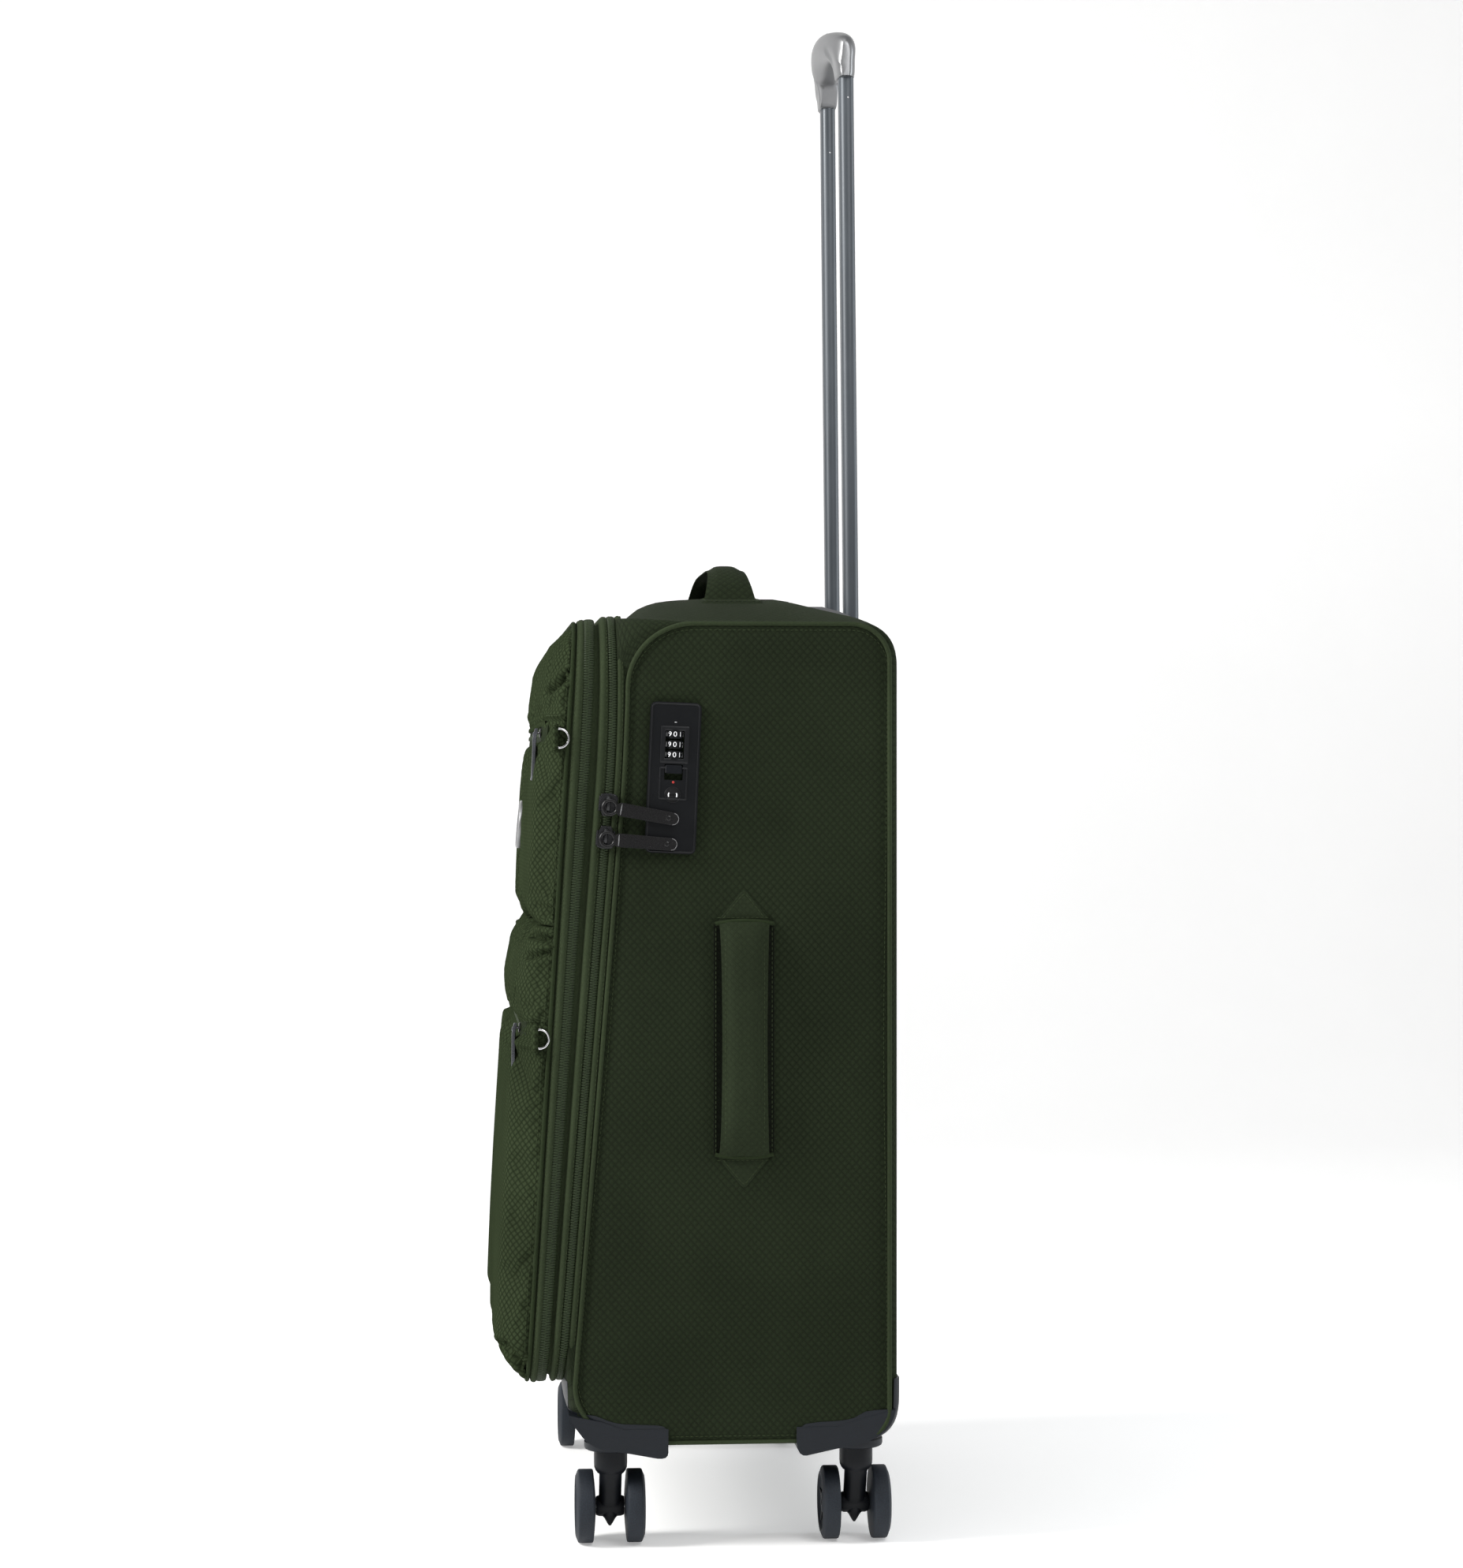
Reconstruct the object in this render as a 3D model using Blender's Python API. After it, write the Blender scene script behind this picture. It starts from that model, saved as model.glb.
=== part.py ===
"""Upright soft-sided spinner suitcase with a zipped lid, telescopic handle and four twin casters.

Frame: metres, +Z up, origin on the floor under the middle of the overall box.
+X is the side with the combination lock, -Y is the pocketed front, +Y is the back.
"""
import math

import bmesh
import bpy
from mathutils import Matrix, Vector

# ---------------------------------------------------------------- driving dimensions
GAP = 0.0003                 # clearance between pieces that touch
WALL = 0.003                 # padded fabric and board wall of the case
HALF_WIDTH = 0.210           # case half width
BACK_Y = 0.1425              # outside of the back panel
FLOOR_Z = 0.0755             # underside of the case
SIDE_TOP_Z = 0.6575          # top edge of the side panels
CROWN = 0.0251               # how far the middle of the top stands above that edge
EDGE_RADIUS = 0.012          # edge between the side panels and the top and bottom
BACK_TOP_RADIUS = 0.028
BACK_LOW_RADIUS = 0.024
BACK_SIDE_RADIUS = 0.008

ZIP_TOP_Y = -0.0605          # main zip line, straight at the top
ZIP_LEAN = 0.081             # forward lean below the knee, metres per metre
ZIP_KNEE_Z = 0.61
ZIP_KNEE_LENGTH = 0.08
ZIP_LOW_Z = 0.118
ZIP_HIGH_Z = 0.661
ZIP_LOW_RADIUS = 0.040       # corners of the zip's outline, low and high
ZIP_HIGH_RADIUS = 0.045
ZIP_HALF_GAP = 0.0025        # from the zip line to the rim on each side
RIM_HALF_WIDTH = 0.2075
ROUND_LOW = 0.042            # depth over which the case rounds in towards the zip, low and high
ROUND_HIGH = 0.045
CROWN_FALL = (0.065, 0.06, 0.62)   # where the crown starts to fall to the back, over what depth, and how far
CHAIN_WIDTH = 0.0019
CHAIN_OUT = 0.2098
CHAIN_IN = 0.2080
EXPANDER_AT = 0.48           # the expander zip's place between the main zip and the lid's edge
EXPANDER_HALF_WIDTH = 0.003
EXPANDER_GROW = 0.0023       # how far it stands outside the rim's outline
EXPANDER_THICKNESS = 0.0017
HINGE_X = -0.2105
HINGE_LOW_Z = 0.19
HINGE_HIGH_Z = 0.53

LID_EDGE_Y = -0.1045         # outer edge of the lid at mid height
LID_EDGE_Z = 0.364
LID_LEAN = 0.0617
LID_HALF_WIDTH = 0.2055
LID_LOW_Z = 0.1165
LID_HIGH_Z = 0.6575
LID_FRONT_ROUND = 0.003
LID_WALL = 0.0025

POCKET_HALF_WIDTH = 0.200
UPPER_POCKET = {"low": 0.447, "high": 0.654, "front": -0.1095, "at": 0.579, "lean": 0.0917}
LOWER_POCKET = {"low": 0.1185, "high": 0.4435, "front": -0.1245, "at": 0.368, "lean": 0.070}
BADGE_SIZE = (0.062, 0.036)
BADGE_Z = 0.512
POCKET_SLIDER_X = 0.168
POCKET_PULL_SIZE = (0.037, 0.0075)
POCKET_PULL_Y = (-0.0050, -0.0033)   # ahead of the pocket's front
D_RING_RADIUS = 0.0068
D_RING_WIRE = 0.0009
UPPER_D_RING = (0.2070, -0.1000, 0.5750)
LOWER_D_RING = (0.2070, -0.1140, 0.3625)

TUBE_HALF_SPACING = 0.0625
TUBE_Y = 0.1255              # tube centre where it leaves the bezel
TUBE_Y_AT = 0.68
TUBE_LEAN = -0.0094          # the telescopic handle leans forward, metres per metre
TUBE_SIZE = (0.019, 0.0115)
OUTER_TUBE_SIZE = (0.0225, 0.0148)
TUBE_WALL = 0.001
TUBE_FIT = 0.0004
INNER_TUBE_Z = (0.600, 1.0729)
OUTER_TUBE_Z = (0.1155, 0.6400)
GRIP_LOW_Z = 1.0732          # lower end of the grip's sleeves
GRIP_TOP_Z = 1.117           # top of the grip's arch in the middle
GRIP_ARCH = 0.010            # fall of the arch from the middle to the tubes
GRIP_NOSE = 0.0180           # how far the middle of the grip bulges ahead of the tubes
GRIP_BOW = 0.0075            # how much less it bulges over the tubes
GRIP_DEPTH = 0.0235
GRIP_PLACES = (              # place along X, the sleeve's share and the scale of the section
    (0.0, 0.0, 1.0), (0.0160, 0.0, 1.0), (0.0300, 0.0, 1.0), (0.0420, 0.0, 1.0), (0.0475, 0.10, 1.0),
    (0.0505, 0.60, 1.0), (0.0530, 1.0, 1.0), (0.0625, 1.0, 1.0), (0.0725, 1.0, 1.0),
    (0.0750, 1.0, 0.92), (0.0764, 1.0, 0.78), (0.0770, 1.0, 0.60))
GRIP_STATIONS = len(GRIP_PLACES)
BUTTON_HALF = 0.0160

BEZEL_LOW_Z = 0.6405
BEZEL_Y = (0.076, 0.1385)
BEZEL_TOP = ((0.0760, 0.6710), (0.0800, 0.6740), (0.1000, 0.6740), (0.1130, 0.6705), (0.1260, 0.6650),
             (0.1350, 0.6580), (0.1385, 0.6510))
BEZEL_HALF_LENGTH = 0.100
GRIP_POCKET_FLOOR_Z = 0.6475
TRAY_Y = (0.1020, 0.1368)    # the tray that the grip drops into
TRAY_HALF_LENGTH = 0.0815

LINING_BACK_Y = TUBE_Y - OUTER_TUBE_SIZE[1] / 2 - 0.0025
LINING_THICKNESS = 0.0015
LINING_HALF_WIDTH = 0.196
LINING_Z = (0.094, 0.640)
STRAP_Z = (0.440, 0.465)     # packing straps

CASTER_X = 0.186
CASTER_Y = (-0.061, 0.115)
CASTER_TRAIL = 0.011
WHEEL_RADIUS = 0.0264
WHEEL_WIDTH = 0.014
WHEEL_OFFSET = 0.0176
WHEEL_SEGMENTS = 20
AXLE_RADIUS = 0.0022
AXLE_Z = WHEEL_RADIUS * math.cos(math.pi / WHEEL_SEGMENTS)
GUARD_THICKNESS = 0.002
GUARD_REACH = 0.080          # how far a corner guard runs under the case along X
SKIRT_X = (0.160, 0.2118)    # the block under a guard, along X
BOSS_RADIUS = 0.019
BOSS_LOW_Z = 0.0690
COLLAR_RADIUS = 0.0119
COLLAR_LOW_Z = 0.0534
HUB_RADIUS = 0.0078

LOCK_CENTRE = Vector((HALF_WIDTH + GAP, -0.018, 0.547))
LOCK_TILT = math.radians(2.5)
LOCK_SIZE = (0.0034, 0.036, 0.107)
LOCK_HOUSING = (0.0125, 0.028, 0.096)
DIAL_RADIUS = 0.0062
DIAL_THICKNESS = 0.0060
DIAL_HEIGHTS = (0.0308, 0.0235, 0.0162)
DIAL_DEPTH = 0.0016          # dial axis below the outside of the case
KEY_HEIGHT = -0.0120
KEY_RADIUS = 0.0055
BUTTON_HEIGHT = 0.0040

SLIDER_HEIGHTS = (0.528, 0.505)
PULL_DROPS = (math.radians(10.4), math.radians(4.5))
PULL_LENGTH = 0.054
PULL_WIDTH = 0.0112
PULL_THICKNESS = 0.002

SIDE_HANDLE_Y = 0.0324
SIDE_HANDLE_Z = 0.3622
SIDE_HANDLE_LENGTH = 0.165
SIDE_HANDLE_WIDTH = 0.035
SIDE_HANDLE_OUT = 0.2235
SIDE_HANDLE_HALF_THICKNESS = (0.0033, 0.0019)   # in the middle and at the feet
TOP_HANDLE_Y = 0.0325
TOP_HANDLE_TOP_Z = 0.7105
TOP_HANDLE_FOOT_Z = 0.6868
TOP_HANDLE_REACH = 0.095
TOP_HANDLE_HALF_THICKNESS = 0.006

COLOURS = {                  # colour, roughness, metallic
    "ripstop": ((0.010, 0.016, 0.008), 0.80, 0.0),
    "plain_fabric": ((0.050, 0.067, 0.037), 0.85, 0.0),
    "webbing": ((0.014, 0.018, 0.011), 0.85, 0.0),
    "lining": ((0.030, 0.031, 0.032), 0.90, 0.0),
    "zip_coil": ((0.022, 0.030, 0.017), 0.60, 0.0),
    "moulded_plastic": ((0.020, 0.024, 0.029), 0.50, 0.0),
    "black_plastic": ((0.018, 0.018, 0.019), 0.40, 0.0),
    "tyre": ((0.037, 0.042, 0.048), 0.70, 0.0),
    "silver_plastic": ((0.300, 0.330, 0.350), 0.35, 0.6),
    "aluminium": ((0.320, 0.370, 0.420), 0.30, 0.9),
    "gunmetal": ((0.060, 0.060, 0.062), 0.35, 0.9),
    "steel": ((0.450, 0.450, 0.450), 0.30, 1.0),
}


# ---------------------------------------------------------------- scene helpers
def clear_scene():
    """Remove every object that is already in the scene."""
    for item in list(bpy.data.objects):
        bpy.data.objects.remove(item, do_unlink=True)


def new_collection(name):
    """A collection linked to the scene."""
    collection = bpy.data.collections.new(name)
    bpy.context.scene.collection.children.link(collection)
    return collection


def material(name):
    """The Principled material of that name, made on first use."""
    found = bpy.data.materials.get(name)
    if found:
        return found
    colour, roughness, metallic = COLOURS[name]
    made = bpy.data.materials.new(name)
    made.use_nodes = True
    shader = made.node_tree.nodes["Principled BSDF"]
    shader.inputs["Base Color"].default_value = (*colour, 1.0)
    shader.inputs["Roughness"].default_value = roughness
    shader.inputs["Metallic"].default_value = metallic
    made.diffuse_color = (*colour, 1.0)
    return made


def pivot(name, place, parent=None):
    """An empty on a joint's axis."""
    empty = bpy.data.objects.new(name, None)
    empty.empty_display_size = 0.02
    empty.location = Vector(place)
    if parent:
        empty.location -= parent.matrix_world.translation
        empty.parent = parent
    PARTS.objects.link(empty)
    bpy.context.view_layer.update()
    return empty


def solid(name, bm, look, joint=None, sharp=35):
    """Turn a bmesh in world coordinates into a named object that hangs on a joint's empty."""
    bmesh.ops.recalc_face_normals(bm, faces=bm.faces[:])
    mesh = bpy.data.meshes.new(name)
    bm.to_mesh(mesh)
    bm.free()
    item = bpy.data.objects.new(name, mesh)
    mesh.materials.append(material(look))
    mesh.shade_smooth()
    mesh.set_sharp_from_angle(angle=math.radians(sharp))
    if joint:
        mesh.transform(Matrix.Translation(-joint.matrix_world.translation))
        item.parent = joint
    PARTS.objects.link(item)
    return item


def mesh_of(item):
    """The evaluated mesh of an object as a bmesh, and the object is removed."""
    bpy.context.view_layer.update()
    graph = bpy.context.evaluated_depsgraph_get()
    mesh = bpy.data.meshes.new_from_object(item.evaluated_get(graph))
    bm = bmesh.new()
    bm.from_mesh(mesh)
    bpy.data.meshes.remove(mesh)
    bpy.data.objects.remove(item, do_unlink=True)
    return bm


def combined(base, *steps):
    """Exact booleans: each step is an operation and the bmesh it applies."""
    item = solid("base_form", base, "black_plastic")
    tools = []
    for operation, bm in steps:
        tool = solid("tool_form", bm, "black_plastic")
        tool.display_type = "WIRE"
        tool.hide_render = True
        change = item.modifiers.new("cut", "BOOLEAN")
        change.operation = operation
        change.solver = "EXACT"
        change.object = tool
        tools.append(tool)
    result = mesh_of(item)
    for tool in tools:
        bpy.data.objects.remove(tool, do_unlink=True)
    return result


# ---------------------------------------------------------------- basic forms
def box(low, high, bevel=0.0, segments=2, edges=None):
    """A box between two corners, with all its edges or those along one axis rounded."""
    low, high = Vector(low), Vector(high)
    bm = bmesh.new()
    bmesh.ops.create_cube(bm, size=1.0)
    scale = Matrix.Diagonal((*(high - low), 1.0))
    bmesh.ops.transform(bm, matrix=Matrix.Translation((low + high) / 2) @ scale, verts=bm.verts[:])
    if bevel:
        chosen = bm.edges[:]
        if edges is not None:
            chosen = [e for e in bm.edges if abs((e.verts[0].co - e.verts[1].co).normalized()[edges]) > 0.9]
        bmesh.ops.bevel(bm, geom=chosen, offset=bevel, segments=segments, profile=0.5, affect="EDGES")
    return bm


def cylinder(radius, length, centre, axis="Z", segments=20, top_radius=None):
    """A cylinder or cone about an axis through its centre."""
    bm = bmesh.new()
    top = radius if top_radius is None else top_radius
    bmesh.ops.create_cone(bm, cap_ends=True, segments=segments, radius1=radius, radius2=top, depth=length)
    turn = {"X": Matrix.Rotation(math.pi / 2, 4, "Y"), "Y": Matrix.Rotation(-math.pi / 2, 4, "X"),
            "Z": Matrix.Identity(4)}[axis]
    bmesh.ops.transform(bm, matrix=Matrix.Translation(centre) @ turn, verts=bm.verts[:])
    return bm


def loft(rings, ends=True):
    """Skin over rings of equal point counts, closed by end faces or back onto the first ring."""
    bm = bmesh.new()
    rows = [[bm.verts.new(point) for point in ring] for ring in rings]
    pairs = list(zip(rows, rows[1:]))
    if ends:
        bm.faces.new(rows[0])
        bm.faces.new(rows[-1])
    else:
        pairs.append((rows[-1], rows[0]))
    for first, second in pairs:
        count = len(first)
        for i in range(count):
            j = (i + 1) % count
            bm.faces.new((first[i], first[j], second[j], second[i]))
    return bm


def prism(outline, low, high, axis="X"):
    """An outline of two coordinates pushed along the remaining axis."""
    def lift(point, level):
        a, b = point
        return {"X": (level, a, b), "Y": (a, level, b), "Z": (a, b, level)}[axis]
    return loft([[lift(p, low) for p in outline], [lift(p, high) for p in outline]])


def stadium(size, steps=5):
    """A flat oval outline, longer along its first coordinate."""
    length, width = size
    radius = width / 2
    reach = length / 2 - radius
    points = []
    for side in (1, -1):
        for i in range(steps + 1):
            angle = side * (-math.pi / 2 + math.pi * i / steps)
            points.append((side * reach + side * radius * math.cos(angle), radius * math.sin(angle)))
    return points


def turned_y(profile, centre, segments):
    """A closed profile of (radius, offset along Y) turned about an axis along Y through the centre."""
    rings = []
    for i in range(segments):
        angle = 2 * math.pi * (i + 0.5) / segments - math.pi / 2
        rings.append([Vector(centre) + Vector((r * math.cos(angle), y, r * math.sin(angle)))
                      for r, y in profile])
    return loft(rings, ends=False)


# ---------------------------------------------------------------- case form
def zip_line(z):
    """Y of the main zip at a height: straight at the top, leaning forward below the knee."""
    drop = max(0.0, ZIP_KNEE_Z - z)
    if drop < ZIP_KNEE_LENGTH:
        return ZIP_TOP_Y - ZIP_LEAN * drop * drop / (2 * ZIP_KNEE_LENGTH)
    return ZIP_TOP_Y - ZIP_LEAN * (drop - ZIP_KNEE_LENGTH / 2)


def lid_edge(z):
    """Y of the lid's outer edge at a height."""
    return LID_EDGE_Y + LID_LEAN * (z - LID_EDGE_Z)


def quarter(amount):
    """How far a quarter circle has dropped, from 0 to 1, at a fraction of its radius."""
    amount = min(1.0, max(0.0, amount))
    return 1.0 - math.sqrt(max(0.0, 1.0 - amount * amount))


def outline(half_width, low, high, low_radius, high_radius, crown, corner_steps=5, side_steps=7, top_steps=4):
    """A rounded rectangle in X and Z with a crowned top, anticlockwise from the bottom middle."""
    right = [(0.0, low)]
    for i in range(corner_steps + 1):
        angle = -math.pi / 2 * (1 - i / corner_steps)
        right.append((half_width - low_radius + low_radius * math.cos(angle),
                      low + low_radius + low_radius * math.sin(angle)))
    span = high - high_radius - (low + low_radius)
    for i in range(1, side_steps):
        right.append((half_width, low + low_radius + span * i / side_steps))
    for i in range(corner_steps + 1):
        angle = math.pi / 2 * i / corner_steps
        right.append((half_width - high_radius + high_radius * math.cos(angle),
                      high - high_radius + high_radius * math.sin(angle)))
    flat = half_width - high_radius
    for i in range(1, top_steps):
        x = flat * (1 - i / top_steps)
        right.append((x, high + crown * (1 - (x / flat) ** 2.5)))
    left = [(-x, z) for x, z in reversed(right[1:])]
    return right + [(0.0, high + crown)] + left


MID_RIM_Y = zip_line(0.37) + ZIP_HALF_GAP


def case_ring(y, inset):
    """One closed section of the case at a depth, on a skin that lies inside the outer one."""
    back = BACK_Y - inset
    front = min(1.0, max(0.0, y / MID_RIM_Y))
    to_rim = MID_RIM_Y * (1.0 - front)
    round_low = quarter(1.0 + to_rim / ROUND_LOW)
    round_high = quarter(1.0 + to_rim / ROUND_HIGH)
    top_back = quarter((y - back + BACK_TOP_RADIUS) / BACK_TOP_RADIUS) * BACK_TOP_RADIUS
    low_back = quarter((y - back + BACK_LOW_RADIUS) / BACK_LOW_RADIUS) * BACK_LOW_RADIUS
    side_back = quarter((y - back + BACK_SIDE_RADIUS) / BACK_SIDE_RADIUS) * BACK_SIDE_RADIUS
    smooth = front * front * (3 - 2 * front)
    fall_y, fall_depth, fall_amount = CROWN_FALL
    fall = fall_amount * min(1.0, max(0.0, (y - fall_y) / fall_depth))
    crown = CROWN * (1 - smooth) * (1 - fall)
    half_width = HALF_WIDTH - inset - side_back - (HALF_WIDTH - RIM_HALF_WIDTH) * front ** 4
    low = FLOOR_Z + inset + (ZIP_LOW_Z - FLOOR_Z) * round_low + low_back
    high = SIDE_TOP_Z - inset + (ZIP_HIGH_Z - SIDE_TOP_Z) * smooth - top_back
    high_radius = max(0.004, EDGE_RADIUS + (ZIP_HIGH_RADIUS - EDGE_RADIUS) * round_high - inset)
    low_radius = max(0.004, EDGE_RADIUS + (ZIP_LOW_RADIUS - EDGE_RADIUS) * round_low - inset)
    depth = (y - MID_RIM_Y) / (back - MID_RIM_Y)
    points = []
    for x, z in outline(half_width, low, high, low_radius, high_radius, crown):
        rim_y = zip_line(z) + ZIP_HALF_GAP
        points.append((x, rim_y + (back - rim_y) * depth, z))
    return points


def case_rings(inset):
    """Sections from the rim at the zip to the back panel."""
    back = BACK_Y - inset
    front_stations = [MID_RIM_Y * f for f in (1.0, 0.97, 0.88, 0.76, 0.62, 0.45, 0.28, 0.12)]
    back_stations = [back - BACK_TOP_RADIUS * (1 - math.sin(math.radians(a)))
                     for a in (0, 25, 47, 66, 80, 90)]
    return [case_ring(y, inset) for y in front_stations + [0.03, 0.065, 0.09] + back_stations]


def lid_rings(inset):
    """Sections from the rim at the zip to the rounded front edge of the lid."""
    rings = []
    stations = ((0.0, 0.0, 0.0), (0.5, 0.0, 0.0), (1.0, 0.0, 0.0), (1.0, LID_FRONT_ROUND, LID_FRONT_ROUND))
    for depth, ahead, shrink in stations:
        width = RIM_HALF_WIDTH + (LID_HALF_WIDTH - RIM_HALF_WIDTH) * depth - inset - shrink
        low = ZIP_LOW_Z + (LID_LOW_Z - ZIP_LOW_Z) * depth + inset + shrink
        high = ZIP_HIGH_Z + (LID_HIGH_Z - ZIP_HIGH_Z) * depth - inset - shrink
        points = []
        corners = ZIP_LOW_RADIUS - inset - shrink, ZIP_HIGH_RADIUS - inset - shrink
        for x, z in outline(width, low, high, *corners, 0.0):
            rim_y = zip_line(z) - ZIP_HALF_GAP
            front_y = lid_edge(z) - ahead + inset * (depth > 0.9)
            points.append((x, rim_y + (front_y - rim_y) * depth, z))
        rings.append(points)
    return rings


# ---------------------------------------------------------------- fixed pieces of the case
def lock_frame():
    """From the lock's own axes (X outward, Y across, Z along) to the case."""
    return Matrix.Translation(LOCK_CENTRE) @ Matrix.Rotation(-LOCK_TILT, 4, "X")


def placed(bm, matrix):
    """A bmesh moved by a matrix."""
    bmesh.ops.transform(bm, matrix=matrix, verts=bm.verts[:])
    return bm


def make_case_shell():
    """Padded walls, open at the zip, with apertures for the lock and the handle bezel."""
    shell = loft(list(reversed(case_rings(0.0))) + case_rings(WALL))
    _, width, length = LOCK_HOUSING
    across, along = width / 2 + 0.001, length / 2 + 0.001
    lock_hole = box((-0.012, -across, -along), (0.01, across, along))
    side = BEZEL_HALF_LENGTH + GAP
    bezel_hole = box((-side, BEZEL_Y[0] - GAP, BEZEL_LOW_Z - GAP), (side, BACK_Y + 0.02, 0.72))
    shell = combined(shell, ("DIFFERENCE", placed(lock_hole, lock_frame())), ("DIFFERENCE", bezel_hole))
    solid("case_shell", shell, "ripstop")


def make_back_lining():
    """Flat lining panel in front of the telescopic tubes."""
    back = LINING_BACK_Y
    lining = box((-LINING_HALF_WIDTH, back - LINING_THICKNESS, LINING_Z[0]),
                 (LINING_HALF_WIDTH, back, LINING_Z[1]), bevel=0.02, segments=3, edges=1)
    solid("back_lining", lining, "lining")


def make_packing_straps():
    """Two elastic straps that meet in a buckle across the packing space."""
    face = LINING_BACK_Y - LINING_THICKNESS - GAP
    low, high = STRAP_Z
    for side, name in ((-1, "packing_strap_left"), (1, "packing_strap_right")):
        ends = sorted((side * 0.186, side * 0.0323))
        strap = box((ends[0], face - 0.0016, low), (ends[1], face, high), bevel=0.0005, segments=1, edges=0)
        solid(name, strap, "webbing")
    buckle = box((-0.032, face - 0.009, low - 0.005), (0.032, face, high + 0.005), bevel=0.003)
    solid("strap_buckle", buckle, "black_plastic")


def guard_outline(front):
    """Side view of a corner guard as Y and Z, with a tall lip on the end face and a stepped flap."""
    if front:
        return [(-0.135, 0.060), (-0.0213, 0.060), (-0.0213, 0.0835), (-0.0280, 0.0893), (-0.0530, 0.0905),
                (-0.0640, 0.0930), (-0.0730, 0.0966), (-0.0915, 0.0985), (-0.0925, 0.1200), (-0.135, 0.1200)]
    return [(0.165, 0.060), (0.0698, 0.060), (0.0698, 0.0800), (0.0716, 0.0850), (0.0765, 0.0890),
            (0.1000, 0.0908), (0.1110, 0.0928), (0.1190, 0.0970), (0.1390, 0.0985), (0.1395, 0.1200),
            (0.165, 0.1200)]


def skirt_outline(front):
    """Side view of the block under a guard: its lower face slopes down towards the middle of the case."""
    if front:
        return [(-0.0743, 0.0868), (-0.0743, 0.0736), (-0.0507, 0.0700), (-0.0274, 0.0656), (-0.0218, 0.0676),
                (-0.0213, 0.0868)]
    return [(0.1205, 0.0868), (0.1205, 0.0746), (0.0973, 0.0708), (0.0752, 0.0662), (0.0718, 0.0686),
            (0.0698, 0.0748), (0.0698, 0.0868)]


def grown_case(amount, ahead=0.0):
    """The case's outer form as one closed solid, grown by an amount and run on ahead of the rim."""
    rings = case_rings(-amount)
    if ahead:
        rings.insert(0, [(x, y - ahead, z) for x, y, z in rings[0]])
    return loft(rings)


def make_corner_guard(name, side, front):
    """Moulded shell that wraps a lower corner and carries the caster's socket."""
    block = prism(guard_outline(front), HALF_WIDTH - GUARD_REACH, HALF_WIDTH + 0.02, "X")
    skirt = prism(skirt_outline(front), SKIRT_X[0], SKIRT_X[1], "X")
    shell = combined(grown_case(GAP + GUARD_THICKNESS), ("INTERSECT", block), ("UNION", skirt),
                     ("DIFFERENCE", grown_case(GAP, 0.004)))
    y = CASTER_Y[0] if front else CASTER_Y[1]
    top = FLOOR_Z - GAP - 0.0006
    boss = cylinder(BOSS_RADIUS, top - BOSS_LOW_Z, (CASTER_X, y, (top + BOSS_LOW_Z) / 2), segments=24)
    guard = combined(shell, ("UNION", boss))
    solid(name, placed(guard, Matrix.Diagonal((side, 1, 1, 1))), "moulded_plastic")


def tube_at(z):
    """Y of the telescopic tubes' centre at a height."""
    return TUBE_Y + TUBE_LEAN * (z - TUBE_Y_AT)


def tube_body(side, size, wall, span):
    """Flat-oval open tube along the leaning direction of the telescopic handle."""
    outer = stadium(size)
    inner = stadium((size[0] - 2 * wall, size[1] - 2 * wall))

    def ring(points, z):
        return [(side * TUBE_HALF_SPACING + x, tube_at(z) + y, z) for x, y in points]

    low, high = span
    return loft([ring(outer, low), ring(outer, high), ring(inner, high), ring(inner, low)], ends=False)


def make_outer_tubes():
    """Fixed tubes inside the back of the case, and the bracket that joins their feet."""
    wall = (OUTER_TUBE_SIZE[0] - TUBE_SIZE[0]) / 2 - TUBE_FIT
    for side, name in ((-1, "outer_tube_left"), (1, "outer_tube_right")):
        solid(name, tube_body(side, OUTER_TUBE_SIZE, wall, OUTER_TUBE_Z), "aluminium")
    y = tube_at(OUTER_TUBE_Z[0])
    top = OUTER_TUBE_Z[0] - GAP
    bracket = box((-0.082, y - 0.0065, top - 0.012), (0.082, y + 0.0065, top), bevel=0.003, edges=1)
    solid("tube_foot_bracket", bracket, "black_plastic")


def make_bezel():
    """Recessed tray in the top of the case that the grip drops into."""
    length = BEZEL_HALF_LENGTH
    side_view = [(BEZEL_Y[1], BEZEL_LOW_Z), (BEZEL_Y[0], BEZEL_LOW_Z), *BEZEL_TOP]
    block = prism(side_view, -length, length, "X")
    tray = box((-TRAY_HALF_LENGTH, TRAY_Y[0], GRIP_POCKET_FLOOR_Z), (TRAY_HALF_LENGTH, TRAY_Y[1], 0.70),
               bevel=0.006, segments=3, edges=2)
    hole = (TUBE_SIZE[0] + 0.001, TUBE_SIZE[1] + 0.001)
    steps = [("DIFFERENCE", tray)]
    for side in (-1, 1):
        outline_xy = [(side * TUBE_HALF_SPACING + x, tube_at(0.66) + y) for x, y in stadium(hole)]
        steps.append(("DIFFERENCE", prism(outline_xy, 0.60, 0.70, "Z")))
    solid("trolley_bezel", combined(block, *steps), "silver_plastic")


def strap_arch(path, width_at, across):
    """A strap along a path of (point, outward, half thickness), with its width along one axis."""
    rings = []
    for index, (point, normal, half) in enumerate(path):
        centre, normal = Vector(point), Vector(normal).normalized()
        side = Vector(across) * width_at(index / (len(path) - 1)) / 2
        edge = side * 0.82
        rings.append([centre + side, centre + edge + normal * half, centre - edge + normal * half,
                      centre - side, centre - edge - normal * half, centre + edge - normal * half])
    return loft(rings)


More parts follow.
